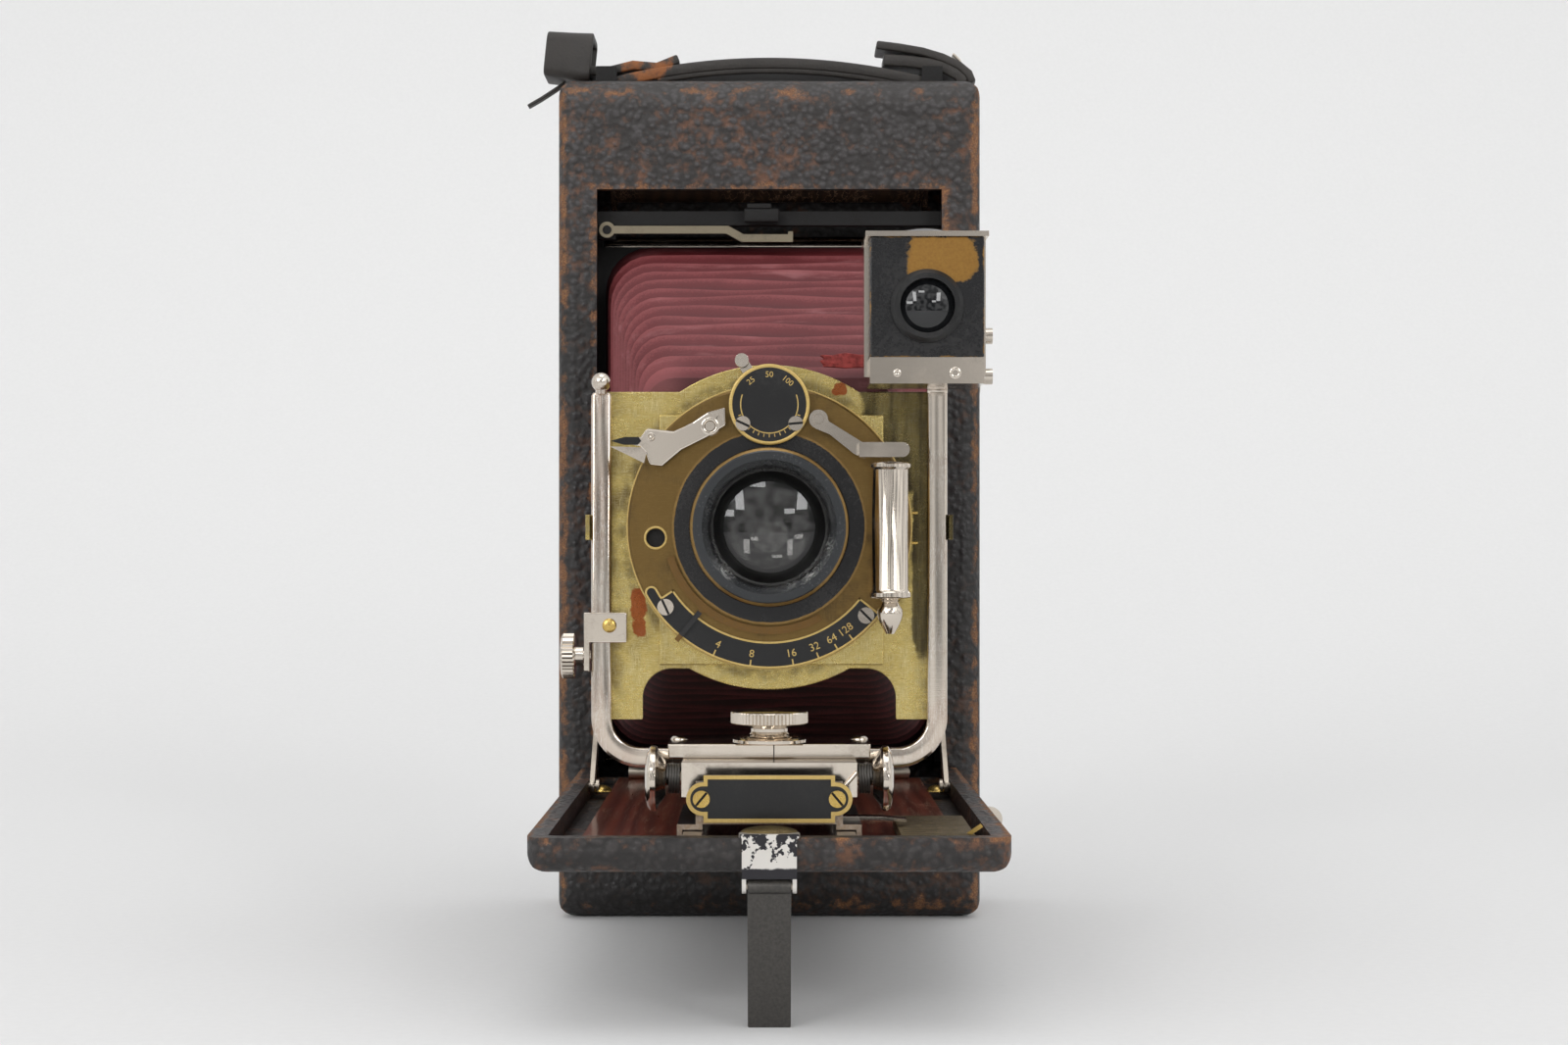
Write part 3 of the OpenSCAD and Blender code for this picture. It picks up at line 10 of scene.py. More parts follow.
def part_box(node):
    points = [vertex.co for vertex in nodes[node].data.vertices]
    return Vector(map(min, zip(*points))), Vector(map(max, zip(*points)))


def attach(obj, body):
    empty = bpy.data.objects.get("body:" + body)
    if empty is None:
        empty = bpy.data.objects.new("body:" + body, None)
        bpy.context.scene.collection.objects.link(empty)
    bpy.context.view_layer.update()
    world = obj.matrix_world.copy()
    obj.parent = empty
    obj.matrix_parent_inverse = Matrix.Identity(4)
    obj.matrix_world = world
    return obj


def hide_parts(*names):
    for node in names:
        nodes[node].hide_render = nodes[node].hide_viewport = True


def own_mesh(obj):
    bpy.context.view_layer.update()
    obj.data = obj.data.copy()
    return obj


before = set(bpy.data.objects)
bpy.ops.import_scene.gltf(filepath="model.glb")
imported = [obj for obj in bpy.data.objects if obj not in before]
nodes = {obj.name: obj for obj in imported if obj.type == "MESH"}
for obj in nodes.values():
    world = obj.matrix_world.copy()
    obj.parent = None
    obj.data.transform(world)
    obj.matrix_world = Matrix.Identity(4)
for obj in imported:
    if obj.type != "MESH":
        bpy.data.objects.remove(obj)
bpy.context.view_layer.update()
mm = 0.001
lensZ = 111.5       # height of the lens axis in millimetres
print("frame loaded:", len(nodes), "nodes")


# Shader maths: a wrapped socket takes part in Python expressions

class Field:
    def __init__(self, paint, socket):
        self.paint, self.socket = paint, socket

    def maths(self, operation, *others):
        return self.paint.node("ShaderNodeMath", {"operation": operation}, self, *others)

    def __add__(self, other): return self.maths("ADD", other)
    def __radd__(self, other): return self.maths("ADD", other)
    def __sub__(self, other): return self.maths("SUBTRACT", other)
    def __rsub__(self, other): return self.paint.node("ShaderNodeMath", {"operation": "SUBTRACT"}, other, self)
    def __mul__(self, other): return self.maths("MULTIPLY", other)
    def __rmul__(self, other): return self.maths("MULTIPLY", other)
    def __pow__(self, other): return self.maths("POWER", other)
    def __abs__(self): return self.maths("ABSOLUTE")

    def most(self, other): return self.maths("MAXIMUM", other)
    def least(self, other): return self.maths("MINIMUM", other)

    def step(self, low, high):      # 0 below low, 1 above high, smooth between
        settings = {"interpolation_type": "SMOOTHSTEP", "clamp": True}
        return self.paint.node("ShaderNodeMapRange", settings, self, low, high, 0.0, 1.0)

    def band(self, middle, half, soft):     # 1 within half of middle
        return 1 - abs(self - middle).step(half, half + soft)


class Paint:
    def __init__(self, owner, coordinates="Object"):        # owner: a new material's name, or the world
        self.owner = bpy.data.materials.new(owner) if isinstance(owner, str) else owner
        self.owner.use_nodes = True
        self.tree = self.owner.node_tree
        self.place = self.node("ShaderNodeTexCoord", {}, out=coordinates)
        self.x, self.y, self.z = self.split(self.place)

    def node(self, kind, settings, *values, out=0, **named):
        made = self.tree.nodes.new(kind)
        for key, value in settings.items():
            setattr(made, key, value)
        for slot, value in list(enumerate(values)) + list(named.items()):
            if value is not None:
                self.feed(made.inputs[slot], value)
        return Field(self, made.outputs[out])

    def feed(self, socket, value):
        if isinstance(value, Field):
            self.tree.links.new(value.socket, socket)
        else:
            socket.default_value = value

    def split(self, vector):
        made = self.tree.nodes.new("ShaderNodeSeparateXYZ")
        self.feed(made.inputs[0], vector)
        return [Field(self, made.outputs[i]) for i in range(3)]

    def stretch(self, scale, turn=(0.0, 0.0, 0.0)):
        return self.node("ShaderNodeMapping", {}, Vector=self.place, Rotation=turn, Scale=scale)

    def noise(self, scale, detail=4.0, rough=0.55, at=None):
        return self.node("ShaderNodeTexNoise", {}, Vector=at or self.place, Scale=scale, Detail=detail, Roughness=rough)

    def cells(self, scale, feature="F1", at=None):
        settings = {"feature": feature}
        return self.node("ShaderNodeTexVoronoi", settings, Vector=at or self.place, Scale=scale, out="Distance")

    def blend(self, mask, first, second):
        made = self.tree.nodes.new("ShaderNodeMix")
        made.data_type = "RGBA"
        for slot, value in ((0, mask), (6, first), (7, second)):
            self.feed(made.inputs[slot], value)
        return Field(self, made.outputs[2])

    def bump(self, height, distance, strength):
        return self.node("ShaderNodeBump", {}, Height=height, Distance=distance, Strength=strength)

    def fromLens(self):     # distance from the lens axis
        up = self.z - lensZ * mm
        return (self.x * self.x + up * up) ** 0.5

    def finish(self, shader="Principled BSDF", **sockets):
        for name, value in sockets.items():
            self.feed(self.tree.nodes[shader].inputs[name.replace("_", " ")], value)
        return self.owner


def rgb(red, green, blue):      # sRGB 0..255 to linear
    line = [c / 255 for c in (red, green, blue)]
    return tuple(c / 12.92 if c <= 0.04045 else ((c + 0.055) / 1.055) ** 2.4 for c in line) + (1.0,)


# Finishes

# The top colour is a painted sheen on the pebble tops, and the last amount paints shade towards the bottom of the body.
leatherLook = {"base": rgb(30, 26, 24), "top": rgb(76, 73, 74), "scuff": rgb(112, 72, 46), "bare": rgb(158, 112, 70),
               "pebble": 600, "grainDepth": 0.0005, "lowShade": 0.55}


def leather(name, edgeMask, look=leatherLook):
    p = Paint(name)
    warp = p.noise(160, 3)
    bent = p.node("ShaderNodeVectorMath", {"operation": "MULTIPLY_ADD"}, warp, (0.0012, 0.0012, 0.0012), p.place)
    pebble = p.cells(look["pebble"], "SMOOTH_F1", bent)
    fine = p.noise(2400, 3)
    cloud = p.noise(30, 6, 0.6)
    blot = p.noise(210, 5, 0.65)
    top = (1 - pebble).step(0.48, 0.86)
    edge = edgeMask(p)
    worn = (edge * 0.62 + blot * 1.3 + cloud * 0.9 - 1.36).step(0.0, 0.3)
    fleck = (blot * 0.9 + cloud * 0.6 + pebble * 0.3 - 0.88).step(0.0, 0.24)
    # Painted sheen: the pebble tops are painted lighter grey-blue.
    tone = p.blend(top * (0.2 + cloud * 0.5), look["base"], look["top"])
    tone = p.blend(fleck * 0.6, tone, look["scuff"])
    # Painted shade: the leather is darkened towards the bottom, below the top end of the body.
    tone = p.blend((1 - p.z.step(0.17, 0.215)) * look["lowShade"], tone, rgb(12, 11, 11))
    tone = p.blend(worn * (0.35 + fine * 0.6), tone, p.blend(fine.step(0.35, 0.7), look["scuff"], look["bare"]))
    height = (1 - pebble) * (1 - worn * 0.55) + fine * 0.18 + blot * 0.3
    return p.finish(Base_Color=tone, Roughness=0.4 + worn * 0.3 + fine * 0.14,
                    Normal=p.bump(height, look["grainDepth"], 0.9))


def bodyEdges(p):       # arrises of the body and the rim of its opening
    ax, ay = abs(p.x).step(0.0555, 0.0603), abs(p.y).step(0.0195, 0.0238)
    az = abs(p.z - 0.1205).step(0.112, 0.1198)
    arris = (ax * ay).most(ay * az).most(ax * az)
    rim = (abs(p.x) - 0.0493).most(abs(p.z - 0.1246) - 0.0841)
    rimWear = rim.band(0.0005, 0.0006, 0.0022) * (1 - p.y.step(-0.0236, -0.0222)) * 0.5
    left = (1 - p.x.step(-0.0604, -0.0585)) * (1 - p.y.step(-0.0225, -0.0175)) * 0.8
    return arris.most(rimWear).most(left)


def bedEdges(p):
    rim = abs(p.x).step(0.0505, 0.0531) + (1 - p.y.step(-0.1957, -0.1925)) * 0.55
    level = p.z.step(0.0405, 0.0432).most(1 - p.z.step(0.0358, 0.0378))
    return rim.least(1.0) * level * 0.8


def nickelFinish(name, look):
    p = Paint(name)
    cloud = p.noise(90, 5, 0.6)
    spots = p.cells(900)
    fine = p.noise(1800, 3)
    brushed = p.noise(300, 2, 0.5, p.stretch((1, 1, 14)))
    dull = (cloud * 0.9 + fine * 0.15 - 0.5).step(0.0, 0.36)
    pits = (1 - spots.step(0.04, 0.16)) * (cloud - 0.4).step(0.1, 0.4)
    rub = (cloud + fine * 0.3 - 0.88).step(0.0, 0.1) * look["brass"]
    tone = p.blend(dull * look["tarnish"], look["bright"], look["grey"])
    tone = p.blend(pits * 0.7 * look["tarnish"], tone, look["dark"])
    tone = p.blend(rub, tone, look["under"])
    if "cut" in look:        # handling scratches and copper showing through
        tone = p.blend((cloud * 0.6 + p.noise(28, 3) * 0.8 - 0.66).step(0.0, 0.2) * 0.35, tone, look["copper"])
        for turn in (0.4, -0.6, 1.1, -1.3):
            line = p.noise(150, 2, 0.6, p.stretch((14, 1, 0.6), (0, turn, 0))).band(0.5, 0.003, 0.006)
            tone = p.blend(line * cloud.step(0.4, 0.56) * 0.7, tone, look["cut"])
    if "flake" in look:
        flake = (p.noise(330, 4, 0.65) + p.z.step(0.038, 0.0435) * 0.14 - 0.6).step(0.0, 0.03)
        below = 1 - (p.z + p.noise(400, 3) * 0.001).step(0.0372, 0.0376)       # dark below the bed's edge
        flake = flake.most(below)
        tone = p.blend(flake * (1 - p.y.step(-0.1966, -0.1963)), tone, look["flake"])
    return p.finish(Base_Color=tone, Metallic=1 - dull * 0.3 * look["tarnish"] - pits * 0.4,
                    Roughness=look["rough"] + dull * 0.12 + brushed * 0.05 + pits * 0.15,
                    Normal=p.bump(fine * 0.4 + brushed * 0.4 - pits, 0.00001, 0.5))


nickelLook = {"bright": rgb(214, 204, 191), "grey": rgb(140, 128, 114), "dark": rgb(66, 54, 43),
              "under": rgb(150, 104, 62), "tarnish": 0.5, "brass": 0.55, "rough": 0.1}


def brassFinish(name, look):
    p = Paint(name)
    cloud = p.noise(46, 6, 0.62)
    blot = p.noise(210, 5, 0.6)
    fine = p.noise(2200, 3)
    scratch = p.noise(260, 3, 0.6, p.stretch((1, 1, 16))).band(0.5, 0.008, 0.01)
    for turn in (0.5, -0.7, 1.3):
        slant = p.noise(180, 2, 0.6, p.stretch((12, 1, 0.5), (0, turn, 0))).band(0.5, 0.004, 0.008)
        scratch = scratch.most(slant * blot.step(0.46, 0.6))
    stain = (cloud * 0.8 + blot * 0.55 - 0.62).step(0.0, 0.3)
    spot = (blot * 0.8 + fine * 0.4 - 0.78).step(0.0, 0.14)
    tone = p.blend(stain * look["stain"], look["bright"], look["brown"])
    tone = p.blend(spot * look["spot"], tone, look["dark"])
    tone = p.blend(scratch * look["scratch"], tone, look["cut"])
    if "patch" in look:
        for mask, shade in look["patch"](p, cloud, blot):
            tone = p.blend(mask, tone, shade)
    bare = look["metal"] - stain * 0.25 * look["stain"] - spot * 0.3 * look["spot"]
    return p.finish(Base_Color=tone, Metallic=bare,
                    Roughness=look["rough"] + stain * 0.14 + spot * 0.12 + fine * 0.06,
                    Normal=p.bump(fine * 0.3 - scratch * look["scratch"], 0.00001, 0.4))


def boardPatches(p, cloud, blot):       # bare black paint under the finder and the two rusty corners
    under = p.x.step(0.018, 0.026) * p.z.step(0.112, 0.126)
    side = p.x.step(0.0325, 0.0355) * p.z.step(0.074, 0.09)
    black = (under.most(side) * 0.75 + cloud * 0.5 + blot * 0.5 - 0.72).step(0.0, 0.22)
    low = p.x.band(-0.031, 0.0004, 0.0032) * p.z.band(0.0915, 0.003, 0.006)
    high = p.x.band(0.0165, 0.0004, 0.003) * p.z.band(0.1445, 0.0004, 0.003)
    rust = (low.most(high) * 1.1 + blot * 1.7 + cloud * 0.4 - 1.62).step(0.0, 0.2)
    streak = p.noise(300, 4, 0.6, p.stretch((1, 1, 0.12)))
    radius = p.fromLens()
    dirt = (abs(p.x).step(0.033, 0.0375) * 0.8).most(radius.band(0.0343, 0.0005, 0.0022)) * blot.step(0.35, 0.6)
    return [(dirt * 0.55, rgb(78, 62, 36)), (black * (0.3 + streak).least(0.95), rgb(38, 34, 30)),
            (rust * 0.9, rgb(150, 70, 34))]


plateLook = {"bright": rgb(200, 178, 108), "brown": rgb(118, 96, 48), "dark": rgb(70, 56, 32),
             "cut": rgb(226, 214, 164), "stain": 0.75, "spot": 0.2, "rough": 0.24, "metal": 0.9, "scratch": 0.75}
boardLook = dict(plateLook, patch=boardPatches)
drumLook = {"bright": rgb(120, 96, 56), "brown": rgb(62, 48, 28), "dark": rgb(40, 31, 20), "cut": rgb(206, 176, 112),
            "stain": 0.85, "spot": 0.6, "rough": 0.27, "metal": 0.9, "scratch": 0.1}
oldBrassLook = {"bright": rgb(98, 84, 56), "brown": rgb(70, 58, 38), "dark": rgb(44, 38, 28), "cut": rgb(176, 158, 112),
                "stain": 0.95, "spot": 0.8, "rough": 0.42, "metal": 0.9, "scratch": 0.3}
brightLook = {"bright": rgb(204, 172, 96), "brown": rgb(150, 118, 58), "dark": rgb(88, 66, 34),
              "cut": rgb(236, 216, 156), "stain": 0.6, "spot": 0.35, "rough": 0.24, "metal": 0.9, "scratch": 0.3}
trimLook = dict(brightLook, bright=rgb(190, 162, 96), metal=0.55, rough=0.36)
enamelLook = {"black": rgb(22, 21, 22), "bare": rgb(168, 128, 62), "rough": 0.3}


def enamel(name, wornMask, **change):
    look = dict(enamelLook, **change)
    p = Paint(name)
    cloud = p.noise(70, 5, 0.6)
    fine = p.noise(1600, 4)
    dust = (cloud * 0.7 + fine * 0.5 - 0.56).step(0.0, 0.3)
    tone = p.blend(dust * 0.35, look["black"], rgb(48, 45, 43))
    metal, rough = 0.0, look["rough"] + dust * 0.2 + fine * 0.08
    if wornMask:
        worn = (wornMask(p) * 1.1 + p.noise(240, 5, 0.65) * 0.9 + fine * 0.25 - 1.05).step(0.0, 0.16)
        tone = p.blend(worn, tone, p.blend(fine, look["bare"], rgb(120, 86, 40)))
        metal, rough = worn * 0.7, rough + worn * 0.12
    if "mount" in look:
        # Painted shade: near black inside the bezel, round and behind the glass, within the grey mount ring.
        radius = p.fromLens()
        hollowShade = p.blend(radius.step(0.0138, 0.0146), rgb(5, 5, 6), look["mount"])
        tone = p.blend(1 - radius.step(0.0172, 0.0176), tone, hollowShade)
    return p.finish(Base_Color=tone, Metallic=metal, Roughness=rough, Normal=p.bump(fine + cloud, 0.00001, 0.4))


def finderWear(p):      # ochre rubbed patch on the finder's face, and its lower edge
    face = 1 - p.y.step(-0.1735, -0.172)
    patch = p.x.band(0.0392, 0.0042, 0.0075) * p.z.band(0.1722, 0.002, 0.006)
    side, front = abs(p.x - 0.0358).step(0.0118, 0.013), 1 - p.y.step(-0.1738, -0.1728)
    level = abs(p.z - 0.1637).step(0.0127, 0.0137)
    arris = (side * front).most(side * level).most(front * level) * 0.5
    return (patch * face).most(arris)


def ringWear(p):        # brass shows at the ring's rim
    radius = p.fromLens()
    return radius.step(0.0216, 0.0226).most(radius.band(0.0179, 0.0002, 0.0005) * 0.8)


def carriageWear(p):     # plated front arris of the sliding feet
    return 1 - p.y.step(-0.18095, -0.1808)


def pointerWear(p):      # brass arc and tip, blackened bar between them
    radius = p.fromLens()
    return (1 - radius.step(0.0252, 0.0256)).most(radius.step(0.0322, 0.0325))


def woodFinish(name, dark, light, rough, coat):
    p = Paint(name)
    along = p.stretch((1, 0.09, 1))
    rings = p.node("ShaderNodeTexWave", {"bands_direction": "X"}, Vector=along, Scale=70.0, Distortion=7.0, Detail=4.0)
    pores = p.noise(1500, 3, 0.6, p.stretch((1, 0.05, 1)))
    cloud = p.noise(40, 5)
    worn = (cloud + p.noise(260, 4) * 0.6 - 0.92).step(0.0, 0.25)
    tone = p.blend(rings * 0.6 + pores * 0.4, dark, light)
    scuff = p.noise(420, 3, 0.6, p.stretch((1, 0.06, 1))).band(0.5, 0.006, 0.012) * cloud.step(0.4, 0.6)
    tone = p.blend((worn * 0.55).most(scuff * 0.7), tone, rgb(176, 142, 116))
    return p.finish(Base_Color=tone, Roughness=rough + worn * 0.25 + pores * 0.12, Coat_Weight=coat * (1 - worn),
                    Coat_Roughness=0.12, Normal=p.bump(pores + rings * 0.3, 0.00005, 0.6))


def steelFinish():
    p = Paint("darkSteel")
    cloud = p.noise(120, 5, 0.6)
    fine = p.noise(1500, 4)
    rust = (cloud + fine * 0.4 - 0.86).step(0.0, 0.2)
    tone = p.blend(rust * 0.8, p.blend(fine, rgb(62, 61, 60), rgb(98, 95, 91)), rgb(92, 62, 42))
    return p.finish(Base_Color=tone, Metallic=0.85 - rust * 0.6, Roughness=0.36 + fine * 0.16 + rust * 0.2,
                    Normal=p.bump(fine, 0.00004, 0.6))


def bellowsFinish():
    p = Paint("bellowsLeather")
    fold = p.node("ShaderNodeAttribute", {"attribute_name": "fold"}, out="Fac")
    shade = p.noise(60, 5)
    fine = p.noise(1700, 4)
    rub = (fold * 0.9 + fine * 0.5 + shade * 0.4 - 1.0).step(0.0, 0.4)
    tone = p.blend(shade, rgb(78, 18, 22), rgb(98, 28, 33))
    # Painted shade in the drawn-in folds.
    tone = p.blend((1 - fold).step(0.35, 0.95) * 0.6, tone, rgb(48, 12, 16))
    chafe = (p.noise(170, 5, 0.65, p.stretch((0.16, 1, 1))) + shade * 0.5 - 0.8).step(0.0, 0.22)
    tone = p.blend(chafe * 0.5, tone, rgb(156, 104, 106))
    bare = (1 - p.x.step(-0.026, -0.018)) * p.z.step(0.136, 0.142) * (1 - p.y.step(-0.136, -0.118))
    tone = p.blend(bare * (0.2 + chafe * 0.4), tone, rgb(180, 108, 110))
    tone = p.blend(rub * 0.5, tone, rgb(138, 70, 72))
    # Painted shade: the bellows darken towards the bottom.
    tone = p.blend((1 - p.z.step(0.075, 0.13)) * (1 - rub * 0.35), tone, rgb(30, 12, 13))
    return p.finish(Base_Color=tone, Roughness=0.56 + fine * 0.14, Normal=p.bump(fine + shade * 0.4, 0.00008, 0.7))


def strapFinish():
    p = Paint("strapLeather")
    grain = p.cells(1300, "SMOOTH_F1")
    fine = p.noise(2400, 3)
    cloud = p.noise(120, 5)
    ends = p.x.band(-0.037, 0.008, 0.003) * (cloud * 1.5 - 0.3)
    arris = p.z.step(0.2497, 0.2508) * 0.35
    worn = (ends.most(arris) + cloud * 0.8 + fine * 0.3 - 0.98).step(0.0, 0.25)
    tone = p.blend(cloud, rgb(26, 24, 22), rgb(56, 51, 47))
    tone = p.blend(worn, tone, p.blend(fine, rgb(150, 92, 48), rgb(118, 72, 40)))
    return p.finish(Base_Color=tone, Roughness=0.5 + worn * 0.2 + fine * 0.1,
                    Normal=p.bump((1 - grain) + fine * 0.3, 0.00012, 0.7))


def glassFinish():
    p = Paint("lensGlass")
    return p.finish(Base_Color=rgb(224, 222, 218), Roughness=p.noise(160, 4) * 0.005, IOR=1.52,
                    Transmission_Weight=1.0, Specular_IOR_Level=1.0)


def finderGlass():      # opaque dark glass: its dark colour is painted shade of the finder's blackened inside
    p = Paint("finderGlass")
    return p.finish(Base_Color=rgb(14, 15, 17), Roughness=0.03 + p.noise(160, 4) * 0.04, IOR=1.6)


def wornRed():      # torn scrap of leather behind the lens board
    p = Paint("wornRed")
    cloud = p.noise(420, 4, 0.6)
    return p.finish(Base_Color=p.blend(cloud.step(0.35, 0.65), rgb(104, 24, 22), rgb(158, 58, 54)), Roughness=0.7,
                    Normal=p.bump(cloud, 0.0004, 0.8))


def celluloidFinish():
    p = Paint("redCelluloid")
    cloud = p.noise(300, 3)
    return p.finish(Base_Color=p.blend(cloud, rgb(150, 22, 18), rgb(120, 16, 16)), Roughness=0.16 + cloud * 0.08,
                    Transmission_Weight=0.35)


dustyLook = dict(nickelLook, bright=rgb(190, 180, 166), grey=rgb(128, 118, 104), tarnish=1.0, rough=0.28)
agedLook = dict(nickelLook, bright=rgb(150, 140, 120), grey=rgb(96, 88, 74), tarnish=1.0, rough=0.3)
flakedLook = dict(nickelLook, bright=rgb(226, 222, 216), tarnish=0.4, brass=0.4, rough=0.4, flake=rgb(62, 61, 64))
bedLook = dict(leatherLook, base=rgb(28, 25, 24), top=rgb(66, 61, 60), lowShade=0.0)
finishes = {
    "bodyLeather": leather("bodyLeather", bodyEdges),
    "bedLeather": leather("bedLeather", bedEdges, bedLook),
    "strap": strapFinish(),
    "bellows": bellowsFinish(),
    "mahogany": woodFinish("mahogany", rgb(80, 32, 24), rgb(140, 70, 52), 0.24, 0.8),
    "spoolWood": woodFinish("spoolWood", rgb(44, 31, 22), rgb(72, 52, 36), 0.5, 0.0),
    "nickel": nickelFinish("nickel", nickelLook),
    "frameNickel": nickelFinish("frameNickel", dict(nickelLook, cut=rgb(240, 236, 228), copper=rgb(176, 138, 116))),
    "dustyNickel": nickelFinish("dustyNickel", dustyLook),
    "agedNickel": nickelFinish("agedNickel", agedLook),
    "flakedNickel": nickelFinish("flakedNickel", flakedLook),
    "board": brassFinish("boardBrass", boardLook),
    "drum": brassFinish("drumBrass", drumLook),
    "oldBrass": brassFinish("oldBrass", oldBrassLook),
    "brightBrass": brassFinish("brightBrass", brightLook),
    "trimBrass": brassFinish("trimBrass", trimLook),
    "plateBrass": brassFinish("plateBrass", plateLook),
    "enamel": enamel("blackEnamel", None, black=rgb(12, 12, 13), rough=0.26),
    "carriageEnamel": enamel("carriageEnamel", carriageWear, bare=rgb(186, 178, 168)),
    "pointerEnamel": enamel("pointerEnamel", pointerWear, bare=rgb(96, 77, 48), rough=0.34),
    "finderEnamel": enamel("finderEnamel", finderWear, black=rgb(15, 15, 17), bare=rgb(160, 120, 58), rough=0.22),
    "ringEnamel": enamel("ringEnamel", ringWear, black=rgb(20, 19, 20), bare=rgb(150, 126, 78), rough=0.16,
                         mount=rgb(40, 42, 44)),
    "inside": enamel("insideBlack", None, black=rgb(12, 11, 11), rough=0.7),
    # Near black for the rear cell, the iris and the disc inside the lens: painted shade inside the lens.
    "pitch": Paint("pitchBlack").finish(Base_Color=rgb(5, 5, 6), Roughness=0.9),
    "steel": steelFinish(),
    "lens": glassFinish(),
    "finderGlass": finderGlass(),
    "red": celluloidFinish(),
    "wornRed": wornRed(),
}
print("finishes made:", len(finishes))

finishOf = {        # nickel where nothing else is named
    "bodyLeather": "case_shell back_cover", "bedLeather": "bed_tray", "mahogany": "bed_panel",
    "inside": "film_gate catch_bar strap_lugs", "carriageEnamel": "carriage_base", "finderEnamel": "finder_box",
    "enamel": "front_plate finder_bezel aperture_scale speed_dial", "ringEnamel": "lens_bezel",
    # The rear cell and the iris blades are painted near black, as shade inside the lens.
    "pitch": "rear_cell iris_blades", "steel": "kickstand piston", "spoolWood": "take_up_spool supply_spool",
    "lens": "lens_glass", "finderGlass": "finder_lenses", "red": "red_window", "board": "lens_board",
    "plateBrass": "shutter_plate", "drum": "shutter_drum", "oldBrass": "focus_plate", "brightBrass": "plate_screws",
    "pointerEnamel": "aperture_pointer", "flakedNickel": "bed_clip", "agedNickel": "door_catch",
    "dustyNickel": "bed_hinge hinge_pins bed_braces track_rails",
}
nodeFinish = {name: finish for finish, names in finishOf.items() for name in names.split()}
for name, obj in nodes.items():
    obj.data.materials.clear()
    obj.data.materials.append(finishes[nodeFinish.get(name, "nickel")])


# Helpers for new pieces

def piece(name, bm, finish, body, stands=(), smooth=40):
    bmesh.ops.remove_doubles(bm, verts=bm.verts, dist=1e-7)
    mesh = bpy.data.meshes.new(name)
    bm.to_mesh(mesh)
    bm.free()
    obj = bpy.data.objects.new(name, mesh)
    bpy.context.scene.collection.objects.link(obj)
    mesh.materials.append(finishes[finish])
    mesh.shade_smooth()
    if smooth:
        mesh.set_sharp_from_angle(angle=math.radians(smooth))
    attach(obj, body)
    if stands:
        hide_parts(*stands)
    return obj


def at(x, y, z):        # move to a place in millimetres
    return Matrix.Translation(Vector((x, y, z)) * mm)


def corners(node):      # a node's box in millimetres
    return [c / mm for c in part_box(node)]


def only(geom, kind):
    return [g for g in geom if isinstance(g, getattr(bmesh.types, kind))]


def edgesOf(verts):
    return list({e for v in verts for e in v.link_edges})


def sharpEdges(bm):
    return [e for e in bm.edges if len(e.link_faces) == 2 and e.calc_face_angle() > 1.0]


def outward(bm):
    bmesh.ops.recalc_face_normals(bm, faces=bm.faces)


def polar(x, z, radius, degrees):
    way = math.radians(degrees)
    return x + radius * math.cos(way), z + radius * math.sin(way)


def rounded(bm, edges, width, segments=2):
    bmesh.ops.bevel(bm, geom=edges, offset=width, affect="EDGES", segments=segments, profile=0.5, material=-1)


def block(bm, low, high, bevel=0.0, segments=2):        # box between two corners in millimetres
    size = [(b - a) * mm for a, b in zip(low, high)]
    centre = [(a + b) / 2 * mm for a, b in zip(low, high)]
    made = bmesh.ops.create_cube(bm, size=1.0, matrix=Matrix.Translation(centre) @ Matrix.Diagonal((*size, 1)))
    if bevel:
        rounded(bm, edgesOf(made["verts"]), bevel * mm, segments)
    return made["verts"]


def turned(bm, profile, centre, axis, steps=48):        # profile in millimetres: (distance along axis, radius)
    turn = Vector((0, 0, 1)).rotation_difference(Vector(axis)).to_matrix().to_4x4()
    place = at(*centre) @ turn
    ring = [bm.verts.new(place @ Vector((radius * mm, 0, along * mm))) for along, radius in profile]
    line = [bm.edges.new(pair) for pair in zip(ring, ring[1:])]
    bmesh.ops.spin(bm, geom=ring + line, cent=place.translation, axis=Vector(axis), angle=2 * math.pi,
                   steps=steps, use_merge=True, use_normal_flip=False)
    bmesh.ops.remove_doubles(bm, verts=bm.verts, dist=2e-6)
    outward(bm)


def rod(bm, centre, axis, radius, length, steps):
    turned(bm, [(0, 0), (0, radius), (length, radius), (length, 0)], centre, axis, steps)


# Bellows: rings of a rounded rectangle, drawn in at every second fold

bellowsShape = {"front": (29.5, 34.5, 112.5), "rear": (47.8, 73.4, 120.6), "yFront": -145.2, "yRear": -6.0,
                "pleats": 14, "depth": 3.0, "sag": 0.7, "radius": (7.0, 13.0), "arc": 7, "slack": 16,
                "waver": (5.2, 31), "skin": 0.0006, "travel": 80.0}


def bellowsRing(bm, share, cut, b):
    halfX, halfZ, middle = [f + (r - f) * share for f, r in zip(b["front"], b["rear"])]
    radius = b["radius"][0] + (b["radius"][1] - b["radius"][0]) * share
    y = b["yFront"] + (b["yRear"] - b["yFront"]) * share
    points = []
    for quarter, (sx, sz) in enumerate(((1, 1), (-1, 1), (-1, -1), (1, -1))):
        for i in range(b["arc"]):
            angle = math.radians(90 * quarter + 90 * i / (b["arc"] - 1))
            points.append((sx * (halfX - cut - radius) + radius * math.cos(angle), y,
                           middle + sz * (halfZ - cut - radius) + radius * math.sin(angle)))
        x, z = points[-1][0], points[-1][2]
        for i in range(1, b["slack"]):       # the slack top and bottom waver between the corners
            t = i / b["slack"] if sz > 0 else 1 - i / b["slack"]
            if quarter in (0, 2):
                ripple = math.sin(b["waver"][0] * t + b["waver"][1] * share)
                wave = b["sag"] * math.sin(math.pi * t) * ripple * math.sin(math.pi * share)
                points.append((x * (1 - 2 * i / b["slack"]), y, z + wave))
    ring = [bm.verts.new(Vector(p) * mm) for p in points]
    return [bm.edges.new(pair) for pair in zip(ring, ring[1:] + ring[:1])]


